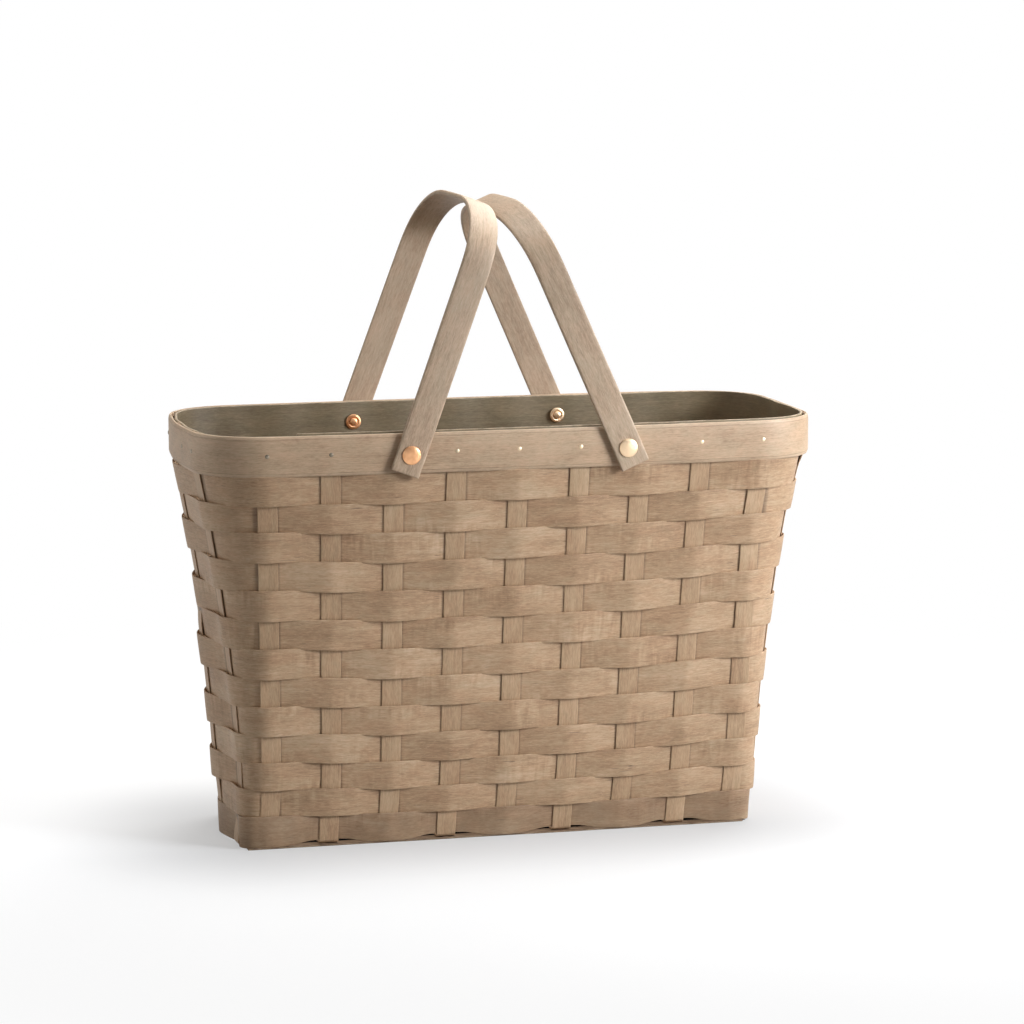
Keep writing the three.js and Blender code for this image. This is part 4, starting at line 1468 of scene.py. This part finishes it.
@dataclass
class Rim:
    """The outer and inner bands with their laps, and the nails through them."""

    shape: BasketShape
    closing: float = 1.1 * MM
    outer_start: float = 12.8
    inner_start: float = 0.5
    lap: float = 1.5
    lap_shift: float = 2.0 * MM
    under_shave: float = 0.75
    over_shave: tuple[float, float] = (0.35, 0.25)
    inner_lap_share: float = 0.85
    proud_counts: tuple[float, float] = (7.0, 15.0)
    steps: int = 16
    seeds: tuple[float, float] = (83.0, 89.0)
    inner_proud: float = 1.5 * MM
    inner_drop: float = 0.35 * MM
    nail_head: float = 1.6 * MM
    nail_dome: float = 0.5 * MM
    nail_shank: float = 0.7 * MM
    nail_seat: float = 0.05 * MM
    nail_drop: float = 13.8 * MM
    left_nail_shift: float = 26 * MM
    nail_sides: int = 16
    nail_seed: int = 5
    bare_side_stake: int = 2

    def band_path(self, start: float, place_at: Callable[[float], tuple[float, float, float]]) -> SplintPath:
        """Middle line of a band that laps over its own start.

        Args:
            start: Count of stakes at which the band starts.
            place_at: Offset from the stakes, share of the thickness and rise at a count of stakes.

        Returns:
            The path.
        """
        shape = self.shape
        path = SplintPath()
        end = start + len(shape.stake_counts) + self.lap
        for count in steps_between(start, end, int((end - start) * self.steps)):
            offset, thin, rise = place_at(count)
            point, _, outward = shape.round_place(shape.height, count)
            point = point + outward * offset
            point[2] = (shape.wall_height + shape.height) / 2 + rise
            path.add(point, UP, outward, thin=thin)
        path.close_ends(BAND_BEVEL)
        return path

    def outer_place(self, count: float) -> tuple[float, float, float]:
        """The outer band's last stretch lies over its first one, and both are shaved.

        Args:
            count: Count of stakes.

        Returns:
            The offset, the share of the thickness and the rise.
        """
        start, lap = self.outer_start, self.lap
        end = start + len(self.shape.stake_counts) + lap
        step_out = smooth_step(end - lap - 0.9, end - lap + 0.1, count)
        shaved = 1 - self.under_shave * (1 - smooth_step(start, start + lap, count))
        thin = shaved * (1 - self.over_shave[0] * smooth_step(end - lap, end, count))
        return self.shape.outer_offset + self.lap_shift * step_out, thin, 0.0

    def inner_place(self, count: float) -> tuple[float, float, float]:
        """The inner band closes up to the outer one between stakes, its first stretch lies over its
        last one, and in front it stands a little proud.

        Args:
            count: Count of stakes.

        Returns:
            The offset, the share of the thickness and the rise.
        """
        start, lap = self.inner_start, self.lap
        end = start + len(self.shape.stake_counts) + lap
        close = self.closing * (0.5 - 0.5 * math.cos(2 * math.pi * count))
        over = 1 - smooth_step(start + lap - 0.1, start + lap + 0.6, count)
        offset = self.shape.inner_offset + close * (1 - over)
        offset -= self.lap_shift * self.inner_lap_share * over
        first = 1 - self.over_shave[1] * (1 - smooth_step(start, start + lap, count))
        thin = first * (1 - self.under_shave * smooth_step(end - lap, end, count))
        rise = self.inner_proud * (1 - smooth_step(*self.proud_counts, count)) - self.inner_drop
        return offset, thin, rise

    def build(self, shop: Workshop) -> None:
        """Makes both bands and the nails.

        Args:
            shop: The workshop.
        """
        outer = SplintSizes(
            self.shape.rim_height, self.shape.outer_band, squareness=0.16, ease_height=2.6 * MM,
            ease_depth=0.8 * MM, wander=0.15 * MM, wander_length=160 * MM, sides=28)
        inner = SplintSizes(
            self.shape.rim_height, self.shape.inner_band, squareness=0.18, wander=0.15 * MM,
            wander_length=140 * MM, sides=24)
        path = self.band_path(self.outer_start, self.outer_place)
        shop.splint("rim_band_outer", path, outer, Finish.BAND, self.seeds[0])
        path = self.band_path(self.inner_start, self.inner_place)
        shop.splint("rim_band_inner", path, inner, Finish.INNER_BAND, self.seeds[1])
        self.build_nails(shop)

    def build_nails(self, shop: Workshop) -> None:
        """Makes the nails, one on each nailed stake.

        Args:
            shop: The workshop.
        """
        shape = self.shape
        seats = []
        outline = shape.outline(shape.height)
        for number, stake in shape.stake_counts:
            side = Side(number)
            if side.is_long and abs(stake) == self.bare_side_stake:
                continue
            along = stake * outline.pitch(number)
            along += self.left_nail_shift if side is Side.LEFT and stake == 0 else 0.0
            point, _, outward = outline.place(number, along)
            point = point + outward * (shape.outer_offset + shape.outer_band / 2)
            point[2] = shape.height - self.nail_drop
            point[0] += shop.settling.shift(point[None, :])[0]
            seats.append((Vector(point), Vector(outward)))
        head, dome, shank, seat = self.nail_head, self.nail_dome, self.nail_shank, self.nail_seat
        reach = shape.outer_band + shape.stake_thickness + shape.inner_band
        profile = [(0.0, dome), (head * 0.35, dome * 0.96), (head * 0.7, dome * 0.75),
                   (head * 0.92, dome * 0.4), (head, dome * 0.12), (head * 0.97, -seat), (shank, -seat),
                   (shank, -reach), (0.0, -reach)]
        nodes = [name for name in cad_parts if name.startswith("nail_")]
        form = turned_shape("nail_form", profile, self.nail_sides)
        shop.fasten("rim_nails", seats, form, Finish.STEEL, self.nail_seed, nodes)


@dataclass
class SwingHandle:
    """A bent wooden strap that turns on two rivets."""

    shape: BasketShape
    name: str
    side: int
    lean_degrees: float
    pivot_half_spacing: float = 79.7 * MM
    pivot_drop: float = 15.4 * MM
    height: float = 185 * MM
    width: float = 21.4 * MM
    thickness: float = 3.5 * MM
    tail: float = 14 * MM
    upright: float = 22 * MM
    taper: float = 4 * MM
    corner_span: float = 74 * MM
    corner_rise: float = 42 * MM
    corner_steps: int = 32
    step: float = 2.2 * MM
    smoothing: int = 24
    seed: float = 97.0
    seed_step: float = 3.1

    def leg_depth(self) -> float:
        """Depth of the middle of a leg from the basket's middle plane, as on the node it stands for.

        Returns:
            The depth.
        """
        shape = self.shape
        reach = math.hypot(self.tail, self.width / 2)
        point, _, _ = shape.outline(shape.height).place(2, self.pivot_half_spacing - reach)
        face = point[1] + shape.outer_offset + shape.outer_band / 2
        return face + shape.gap + self.thickness / 2

    def path(self) -> SplintPath:
        """Middle line of the strap, from the front tail over the top to the back tail.

        Returns:
            The path in place.
        """
        leg = self.leg_depth()
        half = [(leg, -self.tail + 0.3 * MM), (leg, self.upright)] + [
            (leg - self.taper - self.corner_span * (1 - math.cos(angle)),
             self.height - self.corner_rise * (1 - math.sin(angle)))
            for angle in steps_between(0.0, QUARTER, self.corner_steps)]
        corners = np.array([(-depth, rise) for depth, rise in half] + half[::-1])
        lengths = np.concatenate([[0.0], np.cumsum(np.linalg.norm(np.diff(corners, axis=0), axis=1))])
        spots = np.linspace(0, lengths[-1], int(lengths[-1] / self.step))
        line = np.column_stack([np.interp(spots, lengths, corners[:, place]) for place in range(2)])
        for _ in range(self.smoothing):
            line[1:-1] = (line[:-2] + 2 * line[1:-1] + line[2:]) / 4
        lean = math.radians(self.lean_degrees) * -self.side
        cosine, sine = math.cos(lean), math.sin(lean)
        tilt = np.array([[cosine, 0.0, sine], [0.0, 1.0, 0.0], [-sine, 0.0, cosine]])
        pivot = np.array([self.side * self.pivot_half_spacing, 0.0, self.shape.height - self.pivot_drop])
        path = SplintPath()
        for before, (depth, rise), after in zip([line[0], *line], line, [*line[1:], line[-1]]):
            way = unit(after - before)
            point = tilt @ np.array([0.0, depth, rise]) + pivot
            path.add(point, tilt @ RIGHTWARDS, tilt @ np.array([0.0, -way[1], way[0]]))
        path.close_ends(BAND_BEVEL)
        return path

    def build(self, shop: Workshop) -> None:
        """Makes the handle.

        Args:
            shop: The workshop.
        """
        sizes = SplintSizes(
            self.width, self.thickness, squareness=0.2, crown=0.12 * MM, ease_height=1.4 * MM,
            ease_depth=0.2 * MM, wander=0.35 * MM, wander_length=120 * MM, sides=28)
        seed = self.seed + self.side * self.seed_step
        shop.splint(f"handle_{self.name}", self.path(), sizes, Finish.HANDLE, seed,
                    f"{self.name}_handle", "strap")


@dataclass
class Rivets:
    """Copper rivets through the handle legs, with washers inside the rim."""

    head_radius: float = 6.9 * MM
    head_height: float = 1.7 * MM
    head_steps: int = 9
    hammer_marks: float = 0.18 * MM
    shank_radius: float = 2 * MM
    tail_radius: float = 3.1 * MM
    tail_height: float = 1.1 * MM
    washer_radius: float = 5.8 * MM
    washer_play: float = 0.3 * MM
    rivet_sides: int = 40
    washer_sides: int = 32
    hammer_seed: int = 4
    rivet_seed: int = 8
    washer_seed: int = 9

    @staticmethod
    def seats(names: Sequence[str]) -> tuple[list[tuple[Vector, Vector]], float]:
        """Reads where fasteners sit from the nodes they stand for.

        Args:
            names: Names of the nodes.

        Returns:
            The outer end of each with the way it faces, and their length.
        """
        found, length = [], 0.0
        for name in names:
            low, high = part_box(name)
            front = name.endswith("front")
            point = ((low[0] + high[0]) / 2, low[1] if front else high[1], (low[2] + high[2]) / 2)
            found.append((Vector(point), Vector((0.0, -1.0 if front else 1.0, 0.0))))
            length = high[1] - low[1]
        return found, length

    def build(self, shop: Workshop) -> None:
        """Makes the four rivets and the four washers.

        Args:
            shop: The workshop.
        """
        nodes = [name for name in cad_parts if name.startswith("rivet_")]
        washers = [name for name in nodes if "burr" in name]
        rivets = [name for name in nodes if name not in washers]
        seats, length = self.seats(rivets)
        head, dome, shank = self.head_radius, self.head_height, self.shank_radius
        tail, rise = self.tail_radius, self.tail_height
        profile = [
            (head * math.sin(angle) ** 0.95, -dome * 0.8 * (1 - math.cos(angle)))
            for angle in steps_between(0.0, QUARTER, self.head_steps)]
        profile += [(head * 0.985, -dome), (shank, -dome), (shank, -length + rise), (tail, -length + rise),
                    (tail * 0.9, -length + rise * 0.4), (tail * 0.5, -length), (0.0, -length)]
        form = turned_shape("rivet_form", profile, self.rivet_sides, self.hammer_marks, self.hammer_seed)
        shop.fasten("handle_rivets", seats, form, Finish.COPPER, self.rivet_seed, rivets)
        seats, thick = self.seats(washers)
        bore, outer = shank + self.washer_play, self.washer_radius
        ring = [(bore, 0.0), (outer * 0.96, 0.0), (outer, -thick * 0.3), (outer, -thick * 0.7),
                (outer * 0.96, -thick), (bore, -thick), (bore, 0.0)]
        form = turned_shape("washer_form", ring, self.washer_sides)
        shop.fasten("rivet_washers", seats, form, Finish.COPPER, self.washer_seed, washers)


@dataclass(frozen=True)
class SoftLight:
    """A square studio light."""

    name: str
    place: tuple[float, float, float]
    aim: tuple[float, float, float]
    size: float
    watts: float
    spread_degrees: float = 180.0
    colour: Colour = WHITE

    def build(self) -> None:
        """Sets up the light."""
        data = bpy.data.lights.new(self.name, "AREA")
        data.shape = "SQUARE"
        data.size = self.size
        data.energy = self.watts
        data.spread = math.radians(self.spread_degrees)
        data.color = self.colour
        lamp = link_object(self.name, data)
        lamp.location = self.place
        aim = Vector(self.aim) - Vector(self.place)
        lamp.rotation_euler = aim.to_track_quat("-Z", "Y").to_euler()


LIGHTS = (
    SoftLight("key_light", (0.93, -0.64, 0.56), (0.25, -0.1, 0.25), 0.7, 2.5, 51.0, (0.965, 1.0, 1.06)),
    SoftLight("left_light", (-1.1, 0.35, 0.45), (-0.2, 0.0, 0.16), 0.6, 2.1),
    SoftLight("corner_light", (-1.0, -0.75, 0.5), (-0.19, -0.06, 0.12), 0.6, 0.22, 60.0),
    SoftLight("side_light", (0.6, 0.1, 1.4), (0.1, 0.0, 0.25), 0.7, 3.0),
    SoftLight("top_light", (0.0, 0.2, 1.8), (0.0, 0.0, 0.2), 1.0, 15.0),
    SoftLight("back_light", (0.7, 0.9, 1.3), (0.0, 0.0, 0.2), 1.0, 12.0),
)


@dataclass
class Studio:
    """Camera, pale floor, soft lights and white surroundings."""

    camera_place: tuple[float, float, float] = (-0.6753, -2.7711, 0.6521)
    azimuth_degrees: float = -14.087
    elevation_degrees: float = 8.401
    roll_degrees: float = -0.1382
    lens: float = 136.8
    ambient: float = 0.045
    mirrored: float = 0.3
    floor_half_size: float = 12.0
    floor_matt: float = 0.4
    floor_bounce: float = 0.3
    floor_glow: float = 0.64
    floor_fade: tuple[float, float] = (0.3, 0.95)
    contact_share: float = 0.38
    contact_reach: float = 0.16
    footprint: tuple[float, float] = (0.184, 0.058)

    def build(self) -> None:
        """Sets up everything round the basket."""
        self.build_camera()
        self.build_world()
        self.build_floor()
        for light in LIGHTS:
            light.build()
        bpy.context.scene.view_settings.view_transform = "Standard"

    def build_camera(self) -> None:
        """Sets up the camera at the photograph's viewing angle."""
        azimuth, elevation = math.radians(self.azimuth_degrees), math.radians(self.elevation_degrees)
        roll = math.radians(self.roll_degrees)
        forward = Vector((
            -math.sin(azimuth) * math.cos(elevation), math.cos(azimuth) * math.cos(elevation),
            -math.sin(elevation)))
        right = Vector((math.cos(azimuth), math.sin(azimuth), 0.0))
        upward = right.cross(forward)
        turned_right = right * math.cos(roll) + upward * math.sin(roll)
        turned_up = upward * math.cos(roll) - right * math.sin(roll)
        columns = Matrix((turned_right, turned_up, -forward)).transposed().to_4x4()
        data = bpy.data.cameras.new("camera")
        data.sensor_width = 36.0
        data.lens = self.lens
        data.clip_end = 50.0
        camera = link_object("camera", data)
        camera.matrix_world = Matrix.Translation(self.camera_place) @ columns
        bpy.context.scene.camera = camera

    def build_world(self) -> None:
        """Sets up white surroundings that light the basket softly."""
        world = bpy.data.worlds.new("surroundings")
        bpy.context.scene.world = world
        canvas = clear_canvas(world)
        path = canvas.outputs(canvas.node("ShaderNodeLightPath", {}))
        through = canvas.math("MAXIMUM", path["Is Camera Ray"], path["Is Transmission Ray"])
        gloss = path["Is Glossy Ray"].ramp(0.0, 1.0, self.ambient, self.mirrored)
        strength = canvas.math("MAXIMUM", gloss, through)
        shine = canvas.wire("ShaderNodeBackground", {"Color": WHITE, "Strength": strength})
        canvas.node("ShaderNodeOutputWorld", {"Surface": shine})

    def build_floor(self) -> None:
        """Sets up a white floor that keeps the basket's shadow, with a painted contact shadow round and
        under the basket's footprint, and fades out into white.
        """
        size = self.floor_half_size
        mesh = bpy.data.meshes.new("floor")
        corners = [(-size, -size, 0), (size, -size, 0), (size, size, 0), (-size, size, 0)]
        mesh.from_pydata(corners, [], [(0, 1, 2, 3)])
        material = bpy.data.materials.new("white_floor")
        mesh.materials.append(material)
        canvas = clear_canvas(material)
        path = canvas.outputs(canvas.node("ShaderNodeLightPath", {}))
        seen = canvas.math("MAXIMUM", path["Is Camera Ray"], path["Is Glossy Ray"])
        seen = canvas.math("MAXIMUM", seen, path["Is Transmission Ray"])
        place = canvas.wire("ShaderNodeTexCoord", {}, "Object")
        far = canvas.length(place).ramp(*self.floor_fade, kind="SMOOTHSTEP")
        beyond = [canvas.math("MAXIMUM", 0.0, abs(part) - half)
                  for part, half in zip(canvas.split(place), self.footprint)]
        away = canvas.length(canvas.combine(*beyond, 0.0))
        # Painted shadow: the floor's glow dims near the footprint and goes out under it, where its matt part
        # turns dark too.
        contact_shadow = away.ramp(0.0, self.contact_reach, 1 - self.contact_share, 1.0, "SMOOTHSTEP")
        footprint_shadow = away.ramp(0.0, MM, 0.01, 1.0)
        bright = seen.ramp(0.0, 1.0, self.floor_bounce, self.floor_matt) * footprint_shadow
        matt = canvas.wire("ShaderNodeBsdfDiffuse", {"Color": canvas.combine(bright, bright, bright)})
        strength = seen * (contact_shadow * footprint_shadow * self.floor_glow)
        glow = canvas.wire("ShaderNodeEmission", {"Color": WHITE, "Strength": strength})
        near = canvas.wire("ShaderNodeAddShader", {0: matt, 1: glow})
        white = canvas.wire("ShaderNodeEmission", {"Color": WHITE, "Strength": 1.0})
        mixed = canvas.wire("ShaderNodeMixShader", {0: far * seen, 1: near, 2: white})
        canvas.node("ShaderNodeOutputMaterial", {"Surface": mixed})
        link_object("floor", mesh)


def main() -> None:
    """Builds the studio and every part of the basket in order."""
    logging.basicConfig(level=logging.INFO, format="%(name)s %(message)s")
    Studio().build()
    shop = Workshop()
    shape = BasketShape()
    WovenWalls(shape).build(shop)
    WovenBase(shape).build(shop)
    Rim(shape).build(shop)
    SwingHandle(shape, "left", -1, 20.21).build(shop)
    SwingHandle(shape, "right", 1, 23.59).build(shop)
    Rivets().build(shop)


if __name__ == "__main__":
    main()
